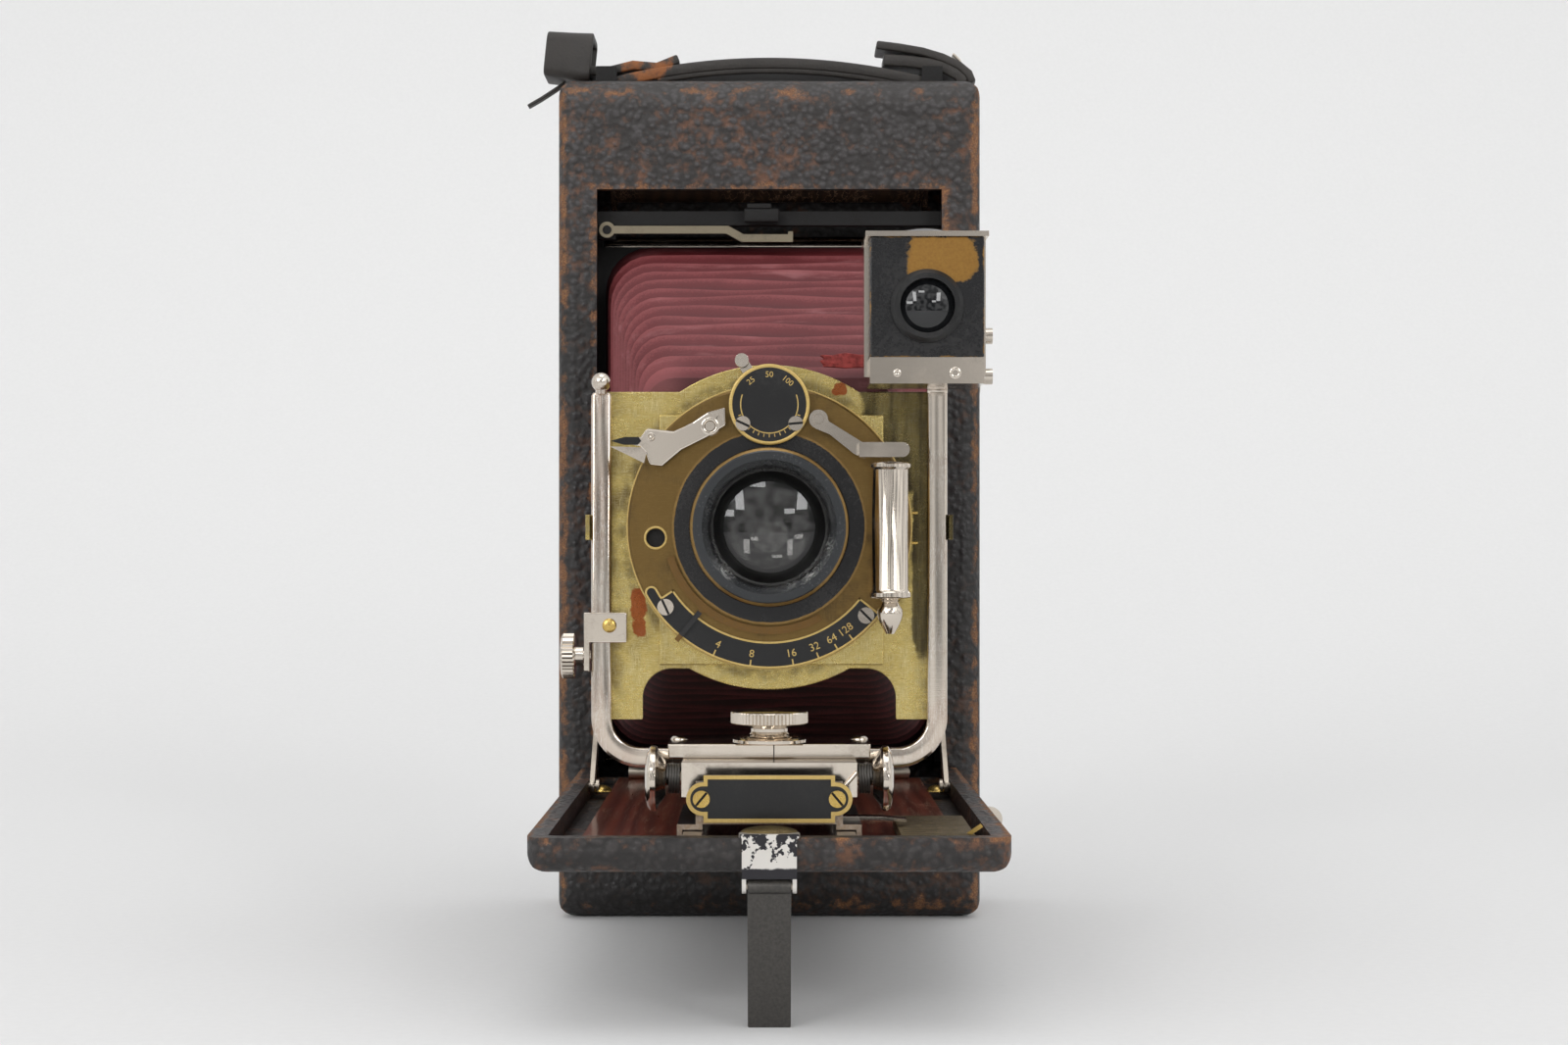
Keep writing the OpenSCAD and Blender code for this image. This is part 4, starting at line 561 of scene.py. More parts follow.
def makeBellows(b=bellowsShape):
    bm = bmesh.new()
    fold = bm.verts.layers.float.new("fold")
    folds = 2 * b["pleats"]
    last = None
    for i in range(folds + 1):
        rows = [(1 - i % 2, i / folds), (0.5, (i + 0.5) / folds)]       # a fold, and the middle of the wall after it
        for out, share in rows[:1] if i == folds else rows:
            edges = bellowsRing(bm, share, (1 - out) * b["depth"], b)
            for edge in edges:
                for v in edge.verts:
                    v[fold] = out
            if last:
                bmesh.ops.bridge_loops(bm, edges=last + edges)
            last = edges
    outward(bm)
    made = piece("bellowsSkin", bm, "bellows", "case", ["bellows"], 25)
    wall = made.modifiers.new("wall", "SOLIDIFY")
    wall.thickness, wall.offset = b["skin"], -1.0
    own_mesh(made)


endCard = {"front": -146.4, "thick": 0.35, "hole": 23.4, "slot": 1.24}


def makeEndCard(k=endCard, b=bellowsShape):        # leather card that closes the mouth behind the lens board
    bm = bmesh.new()
    outer = bellowsRing(bm, 0.0, 0.0, b)
    bmesh.ops.translate(bm, vec=(0, (k["front"] - b["yFront"]) * mm, 0), verts=bm.verts)
    upright = at(0, k["front"], lensZ) @ Matrix.Rotation(math.pi / 2, 4, "X")
    place = upright @ Matrix.Diagonal((1, k["slot"], 1, 1))       # longer upwards, so that the lens can rise and fall
    hole = bmesh.ops.create_circle(bm, cap_ends=False, segments=len(outer), radius=k["hole"] * mm, matrix=place)
    faces = bmesh.ops.bridge_loops(bm, edges=outer + edgesOf(hole["verts"]))["faces"]
    bmesh.ops.recalc_face_normals(bm, faces=faces)
    if faces[0].normal.y > 0:
        bmesh.ops.reverse_faces(bm, faces=faces)
    bmesh.ops.solidify(bm, geom=faces, thickness=k["thick"] * mm)
    piece("bellowsEnd", bm, "bellows", "standard", (), 25)


makeBellows()
makeEndCard()
print("bellows folded:", bellowsShape["pleats"], "pleats")


# Springs behind the two release buttons

springShape = {"x": 20.0, "length": 3.7, "y": -168.0, "z": 53.9, "radius": 3.1, "wire": 0.4, "turns": 4.5,
               "perTurn": 28, "travel": 2.2}


def makeSpring(side, s=springShape):
    bm = bmesh.new()
    start = Vector((side * (s["x"] + s["wire"]), s["y"] + s["radius"], s["z"])) * mm
    ring = bmesh.ops.create_circle(bm, cap_ends=False, segments=10, radius=s["wire"] * mm,
                                   matrix=Matrix.Translation(start))
    edges = edgesOf(ring["verts"])
    steps = int(s["perTurn"] * s["turns"])
    run = (s["length"] - 2 * s["wire"]) * mm / steps
    spun = bmesh.ops.spin(bm, geom=ring["verts"] + edges, cent=Vector((start.x, s["y"] * mm, s["z"] * mm)),
                          axis=(1, 0, 0), dvec=(side * run, 0, 0), angle=2 * math.pi * s["turns"], steps=steps,
                          use_merge=False)
    for loop in (edges, only(spun["geom_last"], "BMEdge")):
        bmesh.ops.holes_fill(bm, edges=loop, sides=0)
    outward(bm)
    name, joint = ("rightSpring", "right_button_push") if side > 0 else ("leftSpring", "left_button_push")
    made = piece(name, bm, "steel", "carriage", ["button_springs"], 0)
    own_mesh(made)


for side in (-1, 1):
    makeSpring(side)
print("springs wound")


# Carrying strap: two layers of band, its lapped ends, a keeper and a thin tail

strapShape = {"half": 7.5, "end": 51.5, "rise": 7.2, "seat": 242.2, "thick": 3.2, "under": 2.2, "crown": 0.35,
              "ends": [     # path, narrower by, thickness
                  ([(31.5, 254.4), (38, 253.6), (45, 252.4), (51, 250.6), (56, 248.2), (59.2, 245.6), (60.4, 242.6)],
                   0, 2.4),
                  ([(33.5, 250.6), (40, 250.2), (47, 249.4), (52, 248.2), (56.5, 245.8), (58.4, 243.0)], 0.4, 3.4),
                  ([(-62.5, 249.6), (-56, 247.4), (-48, 246.6), (-40, 248.6), (-33, 248.0), (-27, 250.4)], 0.2, 2.6)]}


def strapHeight(x, s=strapShape):
    radius = (s["end"] ** 2 + s["rise"] ** 2) / (2 * s["rise"])
    return s["seat"] + s["rise"] - radius + math.sqrt(max(radius ** 2 - x * x, 0.0))


def bentBand(bm, path, half, thick, crown=0.3, bevel=0.5):     # path: (x, z) of the lower face in millimetres
    lines = []
    for i, (x, z) in enumerate(path):
        before, after = path[max(i - 1, 0)], path[min(i + 1, len(path) - 1)]
        out = Vector((before[1] - after[1], 0, after[0] - before[0])).normalized()
        row = []
        for k in range(7):
            y = half * (k / 3 - 1)
            row.append(bm.verts.new((Vector((x, y, z)) + out * crown * (1 - (y / half) ** 2)) * mm))
        lines.append([bm.edges.new(pair) for pair in zip(row, row[1:])])
    faces = []
    for first, second in zip(lines, lines[1:]):
        faces += bmesh.ops.bridge_loops(bm, edges=first + second)["faces"]
    bmesh.ops.recalc_face_normals(bm, faces=faces)
    if sum(f.normal.z for f in faces) > 0:
        bmesh.ops.reverse_faces(bm, faces=faces)
    bmesh.ops.solidify(bm, geom=faces, thickness=-thick * mm)
    outward(bm)
    if bevel:
        rounded(bm, sharpEdges(bm), bevel * mm)


def strapLine(x0, x1, steps, drop=0.0):
    return [(x, strapHeight(x) - drop) for x in [x0 + (x1 - x0) * i / steps for i in range(steps + 1)]]


def makeStrap(s=strapShape):
    parts = bmesh.new()
    shapes = [(strapLine(-47, 50.5, 40), s["half"], s["thick"]),       # long outer layer, then its lining
              (strapLine(-33, 38, 30, s["under"] + 0.15), s["half"] - 0.5, s["under"])]
    shapes += [(path, s["half"] - inset, thick) for path, inset, thick in s["ends"]]
    for path, half, thick in shapes:
        one = bmesh.new()
        bentBand(one, path, half, thick, s["crown"])
        mesh = bpy.data.meshes.new("layer")
        one.to_mesh(mesh)
        one.free()
        parts.from_mesh(mesh)
        bpy.data.meshes.remove(mesh)
    piece("strapBand", parts, "strap", "case", ["handle_strap"], 50)


keeperShape = {"corner": (-66.0, 0, 244.0), "lean": 6.0, "long": 13.4, "high": 13.6, "half": 9.4, "wall": 1.7,
               "round": 2.6, "ease": 0.4, "tail": [(-71.3, 236.6), (-67.5, 238.8), (-63.5, 241.4), (-60.5, 243.4)],
               "clip": [(54.2, 251.6), (56.2, 249.6), (57.0, 247.0), (57.2, 243.2)]}


def makeKeeper(k=keeperShape):      # broad leather loop on the left end
    bm = bmesh.new()
    place = at(*k["corner"]) @ Matrix.Rotation(math.radians(k["lean"]), 4, "Y")
    def lengthwise():
        return [e for e in bm.edges if abs((e.verts[0].co - e.verts[1].co).normalized().x) > 0.9]
    block(bm, (0, -k["half"], 0), (k["long"], k["half"], k["high"]))
    ends = [f for f in bm.faces if abs(f.normal.x) > 0.9]
    long = lengthwise()
    bmesh.ops.delete(bm, geom=ends, context="FACES_ONLY")
    rounded(bm, long, k["round"] * mm, 6)
    bmesh.ops.subdivide_edges(bm, edges=lengthwise(), cuts=7, use_grid_fill=True)
    for v in bm.verts:      # leather sags inwards between its edges
        share = v.co.x / (k["long"] * mm)
        v.co.z += (0.5 if v.co.z > 0.5 * k["high"] * mm else -0.35) * mm * (share - 0.5) * 1.6
        v.co.y *= 1 - 0.05 * math.sin(math.pi * share)
    outward(bm)
    bmesh.ops.solidify(bm, geom=bm.faces[:], thickness=k["wall"] * mm)
    outward(bm)
    rounded(bm, sharpEdges(bm), k["ease"] * mm)
    bmesh.ops.transform(bm, matrix=place, verts=bm.verts)
    piece("strapKeeper", bm, "strap", "case", [], 50)
    tail = bmesh.new()
    bentBand(tail, k["tail"], 1.9, 0.9, 0.0, 0.25)
    piece("strapTail", tail, "strap", "case", [], 50)
    clip = bmesh.new()
    bentBand(clip, k["clip"], 3.4, 0.7, 0.0, 0.2)
    piece("strapClip", clip, "dustyNickel", "case", [], 50)


makeStrap()
makeKeeper()
print("strap sewn")


# Turned knobs with straight knurls

def knurl(bm, centre, plane, radius, k):        # every second point of the rim is drawn in
    for v in bm.verts:
        arm = getattr(v.co, plane) - getattr(Vector(centre), plane) * mm
        if arm.length > (radius - 0.05) * mm and round(math.atan2(arm.y, arm.x) / (math.pi / k["teeth"])) % 2:
            setattr(v.co, plane, getattr(v.co, plane) - arm.normalized() * k["depth"] * mm)


shiftKnob = {"centre": (0, -158, 0), "teeth": 60, "radius": 9.0, "depth": 0.35}


def makeShiftKnob(k=shiftKnob):
    low, high = corners("shift_screw")
    top, r = high.z, k["radius"]
    profile = [(low.z, 0.0), (low.z, 2.0), (61.5, 2.0), (61.5, r - 0.4), (62.2, r - 0.4), (62.7, r - 0.9),
               (63.1, r - 1.9), (63.4, 4.9), (64.0, 4.3), (64.7, 4.3), (65.3, 5.0), (65.6, 6.6), (65.8, r - 0.3),
               (66.0, r), (top - 0.5, r), (top - 0.25, r - 0.3), (top, r - 1.2), (top, 0.0)]
    bm = bmesh.new()
    turned(bm, profile, k["centre"], (0, 0, 1), 2 * k["teeth"])
    knurl(bm, k["centre"], "xy", r, k)
    piece("shiftKnob", bm, "nickel", "shift_screw", ["shift_screw"], 28)


riseKnob = {"teeth": 34, "depth": 0.3}


def makeRiseKnob(k=riseKnob):
    low, high = corners("rise_screw")
    r, out = (high.z - low.z) / 2, low.x
    profile = [(high.x, 0.0), (high.x, 1.4), (out + 5.2, 1.4), (out + 5.2, 2.3), (out + 3.4, 2.3), (out + 3.3, r - 0.4),
               (out + 3.0, r), (out + 0.5, r), (out + 0.2, r - 0.3), (out, r - 1.0), (out + 0.25, r - 1.6),
               (out + 0.25, 0.0)]
    centre = Vector((0, (low.y + high.y) / 2, (low.z + high.z) / 2))
    bm = bmesh.new()
    turned(bm, profile, centre, (1, 0, 0), 2 * k["teeth"])
    knurl(bm, centre, "yz", r, k)
    piece("riseKnob", bm, "nickel", "rise_screw", ["rise_screw"], 28)


makeShiftKnob()
makeRiseKnob()
print("knobs turned")


# Thin front trim: flat shapes drawn in X and Z and raised towards -Y

def strip(bm, outer, inner, y, high):      # band between two closed rows of points in millimetres
    loops = []
    for row in (outer, inner):
        ring = [bm.verts.new((x * mm, y * mm, z * mm)) for x, z in row]
        loops += [bm.edges.new(pair) for pair in zip(ring, ring[1:] + ring[:1])]
    raiseFaces(bm, bmesh.ops.bridge_loops(bm, edges=loops)["faces"], high)


def raiseFaces(bm, faces, high):
    up = bmesh.ops.extrude_face_region(bm, geom=faces)
    bmesh.ops.translate(bm, vec=(0, -high * mm, 0), verts=only(up["geom"], "BMVert"))
    outward(bm)


def flat(bm, points, y, high):
    raiseFaces(bm, [bm.faces.new([bm.verts.new((x * mm, y * mm, z * mm)) for x, z in points])], high)


def arc(x, z, radius, start, end, steps):
    return [polar(x, z, radius, start + (end - start) * i / steps) for i in range(steps + 1)]


def arcBand(bm, x, z, low, high, start, end, y, thick, steps):       # an edge spun part of a turn
    rim = [polar(x, z, r, start) for r in (low, high)]
    ends = [bm.verts.new(Vector((across, y, up)) * mm) for across, up in rim]
    before = set(bm.faces)
    bmesh.ops.spin(bm, geom=ends + [bm.edges.new(ends)], cent=Vector((x, y, z)) * mm, axis=(0, -1, 0),
                   angle=math.radians(end - start), steps=steps)
    raiseFaces(bm, [f for f in bm.faces if f not in before], thick)


def hoop(bm, x, z, low, high, y, thick, steps=64):       # rounded ring
    rise = (high - low) / 2
    profile = [(0, low), (thick * 0.6, low), (thick, low + rise * 0.5), (thick, high - rise * 0.5),
               (thick * 0.6, high), (0, high)]
    turned(bm, profile + profile[:1], (x, y, z), (0, -1, 0), steps)


def dome(bm, place, axis, radius, high, steps=32):
    turns = [t * math.pi / 12 for t in range(1, 6)]
    crown = [(high * math.sin(t), radius * math.cos(t)) for t in turns]
    turned(bm, [(0.0, 0.0), (0.0, radius)] + crown + [(high, 0.0)], place, axis, steps)


def numeral(bm, text, size, x, y, z, turn):      # digits facing the camera, turned clockwise in degrees
    curve = bpy.data.curves.new("digits", "FONT")
    curve.body, curve.size, curve.align_x, curve.align_y = text, size * mm, "CENTER", "CENTER"
    curve.extrude, curve.resolution_u = 0.04 * mm, 3
    holder = bpy.data.objects.new("digits", curve)
    mesh = bpy.data.meshes.new_from_object(holder)
    spin = Matrix.Rotation(math.radians(-turn), 4, "Z")
    mesh.transform(at(x, y, z) @ Matrix.Rotation(math.pi / 2, 4, "X") @ spin)
    bm.from_mesh(mesh)
    bpy.data.meshes.remove(mesh)
    bpy.data.objects.remove(holder)
    bpy.data.curves.remove(curve)


apertureScale = {"y": -160.6, "low": 26.6, "high": 32.8, "start": 213.0, "end": 322.0, "hook": 209.0,
                 "hookRadius": 1.5, "border": 0.45, "thick": 0.14, "digits": 29.7, "digitSize": 2.5, "markLow": 31.1,
                 "marks": {"4": 246.4, "8": 262.1, "16": 279.9, "32": 290.7, "64": 299.2, "128": 306.6}}


def makeScaleTrim(s=apertureScale):
    bm = bmesh.new()
    y, b, low, high = s["y"] + 0.02, s["border"], s["low"], s["high"]
    start, end, hook = s["start"], s["end"], s["hook"]
    neck = high - 2 * s["hookRadius"]
    bands = [(high - b, high, hook, end, 80), (low, low + b, start, end, 80), (neck, neck + b, hook, start + 0.6, 6),
             (low, neck, start, start + 0.9, 2), (low, high, end - 0.9, end, 2)]
    for inner, outer, first, last, steps in bands:
        arcBand(bm, 0, lensZ, inner, outer, first, last, y, s["thick"], steps)
    tip = polar(0, lensZ, high - s["hookRadius"], hook)
    arcBand(bm, *tip, s["hookRadius"] - b, s["hookRadius"], hook - 180, hook, y, s["thick"], 14)
    for text, way in s["marks"].items():
        x, z = polar(0, lensZ, s["digits"], way)
        numeral(bm, text, s["digitSize"], x, s["y"] - 0.04, z, 270 - way)
        arcBand(bm, 0, lensZ, s["markLow"], high - b, way - 0.3, way + 0.3, y, 0.1, 2)
    bmesh.ops.remove_doubles(bm, verts=bm.verts, dist=1e-7)
    bmesh.ops.holes_fill(bm, edges=[e for e in bm.edges if e.is_boundary], sides=0)
    piece("scaleTrim", bm, "trimBrass", "front")


speedDial = {"z": 139.8, "y": -163.8, "radius": 9.4, "digits": 6.9, "digitSize": 1.9,
             "marks": {"25": 128.0, "50": 90.0, "100": 52.0}}


def makeDialTrim(d=speedDial):
    bm = bmesh.new()
    hoop(bm, 0, d["z"], d["radius"] - 0.85, d["radius"] - 0.05, d["y"] + 0.25, 0.4)
    arcBand(bm, 0, d["z"], 6.5, 6.75, -200, 20, d["y"] + 0.02, 0.06, 60)
    for text, way in d["marks"].items():
        x, z = polar(0, d["z"], d["digits"], way)
        numeral(bm, text, d["digitSize"], x, d["y"] - 0.03, z, 90 - way)
    for way in range(-160, -19, 10):
        arcBand(bm, 0, d["z"], 6.9, 7.6, way - 0.8, way + 0.8, d["y"] + 0.02, 0.06, 1)
    piece("dialTrim", bm, "trimBrass", "front")


blankPlate = {"z": 50.6, "y": -182.2, "half": (14.7, 5.3), "ear": 3.75, "border": 0.9}


def makePlateTrim(p=blankPlate):
    def outline(inset):
        wide, tall = (c - inset for c in p["half"])
        ear = p["ear"] - inset
        right = [(wide, tall), (wide, ear)] + arc(14.85, 0, ear, 90, -90, 16) + [(wide, -ear), (wide, -tall)]
        left = [(-x, z) for x, z in reversed(right)]
        return [(x, p["z"] + z) for x, z in right + left]
    bm = bmesh.new()
    strip(bm, outline(0.0), outline(p["border"]), p["y"] + 0.02, 0.16)
    piece("plateTrim", bm, "trimBrass", "carriage")


makeScaleTrim()
makeDialTrim()
makePlateTrim()
print("front trim made")


# U frame of the standard: one rounded bar run down, round and up again

frameBar = {"half": 42.0, "bar": 4.75, "front": -151.5, "back": -148.5, "top": 143.4, "foot": 54.8, "bend": 12.0,
            "ease": 0.75, "crown": [(0.0, 0.6), (0.25, 0.85), (0.9, 1.0)],
            "pivotZ": 146.6, "pivotR": 1.58, "lug": 0.85, "ballR": 2.3}


def runOn(bm, ring, step, grow=1.0, about=Vector((0, 0, 0))):     # draws a loop of edges on by one length
    made = bmesh.ops.extrude_edge_only(bm, edges=ring)["geom"]
    fresh = only(made, "BMVert")
    bmesh.ops.scale(bm, vec=(grow, grow, 1), space=Matrix.Translation(-about), verts=fresh)
    bmesh.ops.translate(bm, vec=Vector(step) * mm, verts=fresh)
    return [e for e in only(made, "BMEdge") if all(v in fresh for v in e.verts)]


def turnOn(bm, ring, centre):        # draws it on round a bend of a quarter turn
    verts = list({v for e in ring for v in e.verts})
    spun = bmesh.ops.spin(bm, geom=verts + ring, cent=Vector(centre) * mm, axis=(0, 1, 0), angle=-math.pi / 2,
                          steps=20, use_merge=False)
    return only(spun["geom_last"], "BMEdge")


def makeFrameBar(k=frameBar):
    bm = bmesh.new()
    leg, deep, straight = k["half"] - k["bar"] / 2, k["back"] - k["front"], k["top"] - k["foot"] - k["bend"]
    middle = (k["front"] + k["back"]) / 2
    about = Vector((-leg, middle, 0)) * mm
    size = Matrix.Diagonal((k["bar"] * mm, deep * mm, 1, 1))
    bmesh.ops.create_grid(bm, x_segments=1, y_segments=1, size=0.5,
                          matrix=at(-leg, middle, k["top"]) @ size)
    bmesh.ops.bevel(bm, geom=bm.verts[:], offset=k["ease"] * mm, affect="VERTICES", segments=4, profile=0.5,
                    material=-1)
    bmesh.ops.scale(bm, vec=(k["crown"][0][1], k["crown"][0][1], 1), space=Matrix.Translation(-about), verts=bm.verts)
    ring = bm.edges[:]
    for (above, small), (below, large) in zip(k["crown"], k["crown"][1:]):
        ring = runOn(bm, ring, (0, 0, above - below), large / small, about)
    ring = runOn(bm, ring, (0, 0, k["crown"][-1][0] - straight))
    ring = turnOn(bm, ring, (k["bend"] - k["half"], middle, k["foot"] + k["bend"]))
    ring = runOn(bm, ring, (2 * (k["half"] - k["bend"]), 0, 0))
    ring = turnOn(bm, ring, (k["half"] - k["bend"], middle, k["foot"] + k["bend"]))
    ring = runOn(bm, ring, (0, 0, straight))
    bmesh.ops.holes_fill(bm, edges=ring, sides=0)
    outward(bm)
    ballY = k["back"] - k["ballR"]
    bmesh.ops.create_uvsphere(bm, u_segments=40, v_segments=24, radius=k["ballR"] * mm,
                              matrix=at(-leg, ballY, k["top"] + k["ballR"]))
    rod(bm, (-leg, ballY, k["top"] - 0.5), (0, 0, 1), k["ballR"] - 0.9, 1.5, 32)      # neck under the ball
    lug = k["pivotR"] + k["lug"]
    eye = [(0, k["pivotR"]), (deep, k["pivotR"]), (deep, lug), (0, lug)]
    turned(bm, eye + eye[:1], (leg, k["back"], k["pivotZ"]), (0, -1, 0), 48)
    block(bm, (leg - lug, k["front"], k["top"] - 0.4), (leg + lug, k["back"], k["pivotZ"] - k["pivotR"] - 0.1), 0.3)
    return piece("frameBar", bm, "frameNickel", "standard", ["u_frame"], 35)


made = makeFrameBar()
print("frame bar bent:", len(made.data.polygons), "faces")


# Small hardware of the front

leverParts = {"y": -163.2, "rivet": (-13.7, 134.8), "stop": (-27.4, 132.3),
              "blackTip": [(-36.7, 131.4), (-33.4, 132.3), (-30.2, 132.3), (-29.6, 131.4), (-30.4, 130.5),
                           (-33.6, 130.5)],
              "tip": [(-37.0, 130.2), (-29.0, 126.3), (-28.2, 129.9)]}


def makeLeverParts(k=leverParts):
    bm = bmesh.new()
    hoop(bm, *k["rivet"], 1.25, 2.1, k["y"] + 0.05, 0.35, 32)
    hoop(bm, *k["stop"], 0.55, 1.0, k["y"] + 0.05, 0.25, 24)
    dome(bm, (k["stop"][0], k["y"], k["stop"][1]), (0, -1, 0), 0.4, 0.25, 16)
    flat(bm, k["tip"], k["y"] + 1.6, 0.5)
    piece("leverParts", bm, "nickel", "finger_lever")
    tip = bmesh.new()
    flat(tip, k["blackTip"], k["y"] + 0.02, 0.2)
    piece("leverTip", tip, "inside", "finger_lever")


drumHole = {"x": -26.4, "z": 109.0, "y": -160.0, "radius": 2.2}
drumRim = {"low": 32.85, "high": 33.2}


def makeDrumHole(k=drumHole):
    bm = bmesh.new()
    hoop(bm, k["x"], k["z"], k["radius"], k["radius"] + 0.55, k["y"] + 0.05, 0.3, 40)
    hoop(bm, 0, lensZ, drumRim["low"], drumRim["high"], k["y"] + 0.05, 0.25, 128)
    piece("holeRing", bm, "trimBrass", "front")
    # A dark disc at the bottom of the hole: painted shade in the hole.
    dark = bmesh.new()
    rod(dark, (k["x"], k["y"] + 1.45, k["z"]), (0, -1, 0), k["radius"] - 0.02, 0.1, 40)
    piece("holeShade", dark, "inside", "front")


airTube = {"place": (27.8, -165.0, 97.6), "radius": 4.2, "flange": 4.8, "length": 27.1, "bore": 3.28, "rod": 1.18,
           "floor": 1.5, "nipple": [(-10.7, 0), (-10.7, 1.0), (-10.2, 1.3), (-8.8, 2.1), (-7.4, 2.7), (-6.2, 2.95),
                                    (-5.2, 2.9), (-4.2, 2.3), (-3.4, 1.9), (-2.6, 3.0)],
           "webLow": (26.0, -161.6, 105.5), "webHigh": (29.6, -160.0, 117.5)}


def makeAirTube(k=airTube):
    r, rim, top, ease = k["radius"], k["flange"], k["length"], 0.25
    outer = [(-2.4, rim - ease), (-2.4 + ease, rim), (-1.0 - ease, rim), (-1.0, rim - ease), (-0.4, r), (top, r),
             (top + 0.3, rim - ease), (top + 0.3 + ease, rim), (top + 1.5 - ease, rim), (top + 1.5, rim - ease),
             (top + 1.8, r - ease)]
    inner = [(top + 1.8, k["rod"]), (top - k["floor"], k["rod"]), (top - k["floor"], k["bore"]),
             (k["floor"], k["bore"]), (k["floor"], 0)]
    bm = bmesh.new()
    turned(bm, k["nipple"] + outer + inner, k["place"], (0, 0, 1), 96)
    block(bm, k["webLow"], k["webHigh"])
    piece("airTube", bm, "nickel", "front", ["air_cylinder"], 40)


hosePins = {"x": (31.4, 34.6), "y": -158.0, "z": (114.8, 107.8), "radius": 0.35}


def makeHosePins(k=hosePins):
    bm = bmesh.new()
    for z in k["z"]:
        rod(bm, (k["x"][0], k["y"], z), (1, 0, 0), k["radius"], k["x"][1] - k["x"][0], 12)
    piece("hosePins", bm, "brightBrass", "front")


barScrews = {"x": 21.3, "y": -146.5, "z": 61.2, "pin": (17.4, -173.2, 52.8), "pinWay": (0.65, 0, 0.76),
             "lineLow": (0.95, -161.03, 57.95), "lineHigh": (1.2, -160.95, 61.1)}


def makeBarScrews(k=barScrews):
    bm = bmesh.new()
    for side in (-1, 1):
        dome(bm, (side * k["x"], k["y"], k["z"] - 0.02), (0, 0, 1), 2.1, 1.1)
    rod(bm, k["pin"], k["pinWay"], 0.45, 3.9, 12)      # slanting pin beside the plate
    piece("barScrews", bm, "nickel", "carriage")
    line = bmesh.new()
    block(line, k["lineLow"], k["lineHigh"])
    piece("indexLine", line, "inside", "carriage")


finderRivets = {"y": -173.98, "z": 146.4, "rings": [(42.2, 0.65, 1.35, 0.35), (29.0, 0.2, 0.9, 0.3)]}


def makeFinderRivets(k=finderRivets):       # rings: x, inner and outer radius, height
    bm = bmesh.new()
    for x, inner, outer, high in k["rings"]:
        hoop(bm, x, k["z"], inner, outer, k["y"], high, 28)
    piece("finderRivets", bm, "nickel", "finder")


bracketScrew = {"x": -37.6, "z": 88.4, "radius": 1.7, "high": 0.6}


def makeBracketScrew(k=bracketScrew):
    front = corners("rise_bracket")[0].y
    bm = bmesh.new()
    dome(bm, (k["x"], front + 0.02, k["z"]), (0, -1, 0), k["radius"], k["high"], 24)
    piece("bracketScrew", bm, "brightBrass", "front")


bedParts = {"footX": 45.2, "footZ": 40.5, "footIn": 2.5, "footSize": (2.6, 1.7), "spurY": -186.0,
            "spur": [(43.8, 43.5), (45.0, 43.3), (47.4, 44.9), (46.9, 45.6)],
            "crown": (0, -191.9, 44.3), "crownSize": (6.3, 1.4), "crownOval": 0.62,
            "marks": 9, "markStart": (30.0, -187.0, 43.28), "markStep": 4.4, "markLong": (8.0, 5.0), "markWide": 0.25}


def makeBedParts(k=bedParts):
    front = corners("bed_braces")[0].y
    feet = bmesh.new()
    for side in (-1, 1):
        dome(feet, (side * k["footX"], front + k["footIn"], k["footZ"]), (0, 0, 1), *k["footSize"])
    flat(feet, k["spur"], k["spurY"], 1.2)
    piece("bedFeet", feet, "brightBrass", "case")
    crown = bmesh.new()
    dome(crown, (0, 0, 0), (0, 0, 1), *k["crownSize"], 48)
    oval = Matrix.Diagonal((1, k["crownOval"], 1, 1))
    bmesh.ops.transform(crown, matrix=at(*k["crown"]) @ oval, verts=crown.verts)
    piece("clipCrown", crown, "oldBrass", "case")
    marks = bmesh.new()
    for i in range(k["marks"]):
        x, y, z = Vector(k["markStart"]) + Vector((0, k["markStep"] * i, 0))
        block(marks, (x, y, z), (x + k["markLong"][i % 2], y + k["markWide"], z + 0.05))
    piece("distanceMarks", marks, "inside", "case")


leatherLump = {"place": (18.0, -145.5, 151.1), "half": (5.4, 0.75, 1.6)}


def makeLeatherLump(k=leatherLump):
    bm = bmesh.new()
    bmesh.ops.create_cube(bm, size=2.0)
    rounded(bm, bm.edges[:], 0.35, 3)
    bmesh.ops.subdivide_edges(bm, edges=bm.edges[:], cuts=3, use_grid_fill=True)
    for v in bm.verts:
        x, y, z = v.co
        v.co *= 1 + 0.13 * math.sin(5 * x + 2) + 0.1 * math.sin(7 * z + 4 * x) + 0.06 * math.sin(13 * y)
    size = Matrix.Diagonal((*[c * mm for c in k["half"]], 1))
    bmesh.ops.transform(bm, matrix=at(*k["place"]) @ size, verts=bm.verts)
    piece("leatherLump", bm, "wornRed", "standard", (), 0)


catchBlock = {"low": (-7.3, -21.6, 199.6), "high": (2.8, -19.58, 203.6),
              "capLow": (-6.4, -21.9, 203.4), "capHigh": (0.6, -19.58, 204.9)}


def makeCatchBlock(k=catchBlock):
    bm = bmesh.new()
    block(bm, k["low"], k["high"], 0.6, 3)
    block(bm, k["capLow"], k["capHigh"], 0.4, 3)
    piece("catchBlock", bm, "inside", "case")


lensShape = {"radius": 13.55, "front": (3.0, -163.8), "inner": (1.9, -163.0), "shadeDiscY": -160.9,
             "rearRadius": 11.9, "rear": (2.3, 2.35), "rearInner": (1.2, 3.1)}


def bulge(radius, high, start, toward):     # half profile of a lens face
    return [(start + toward * high * (1 - (i / 8) ** 2), radius * i / 8) for i in range(9)]


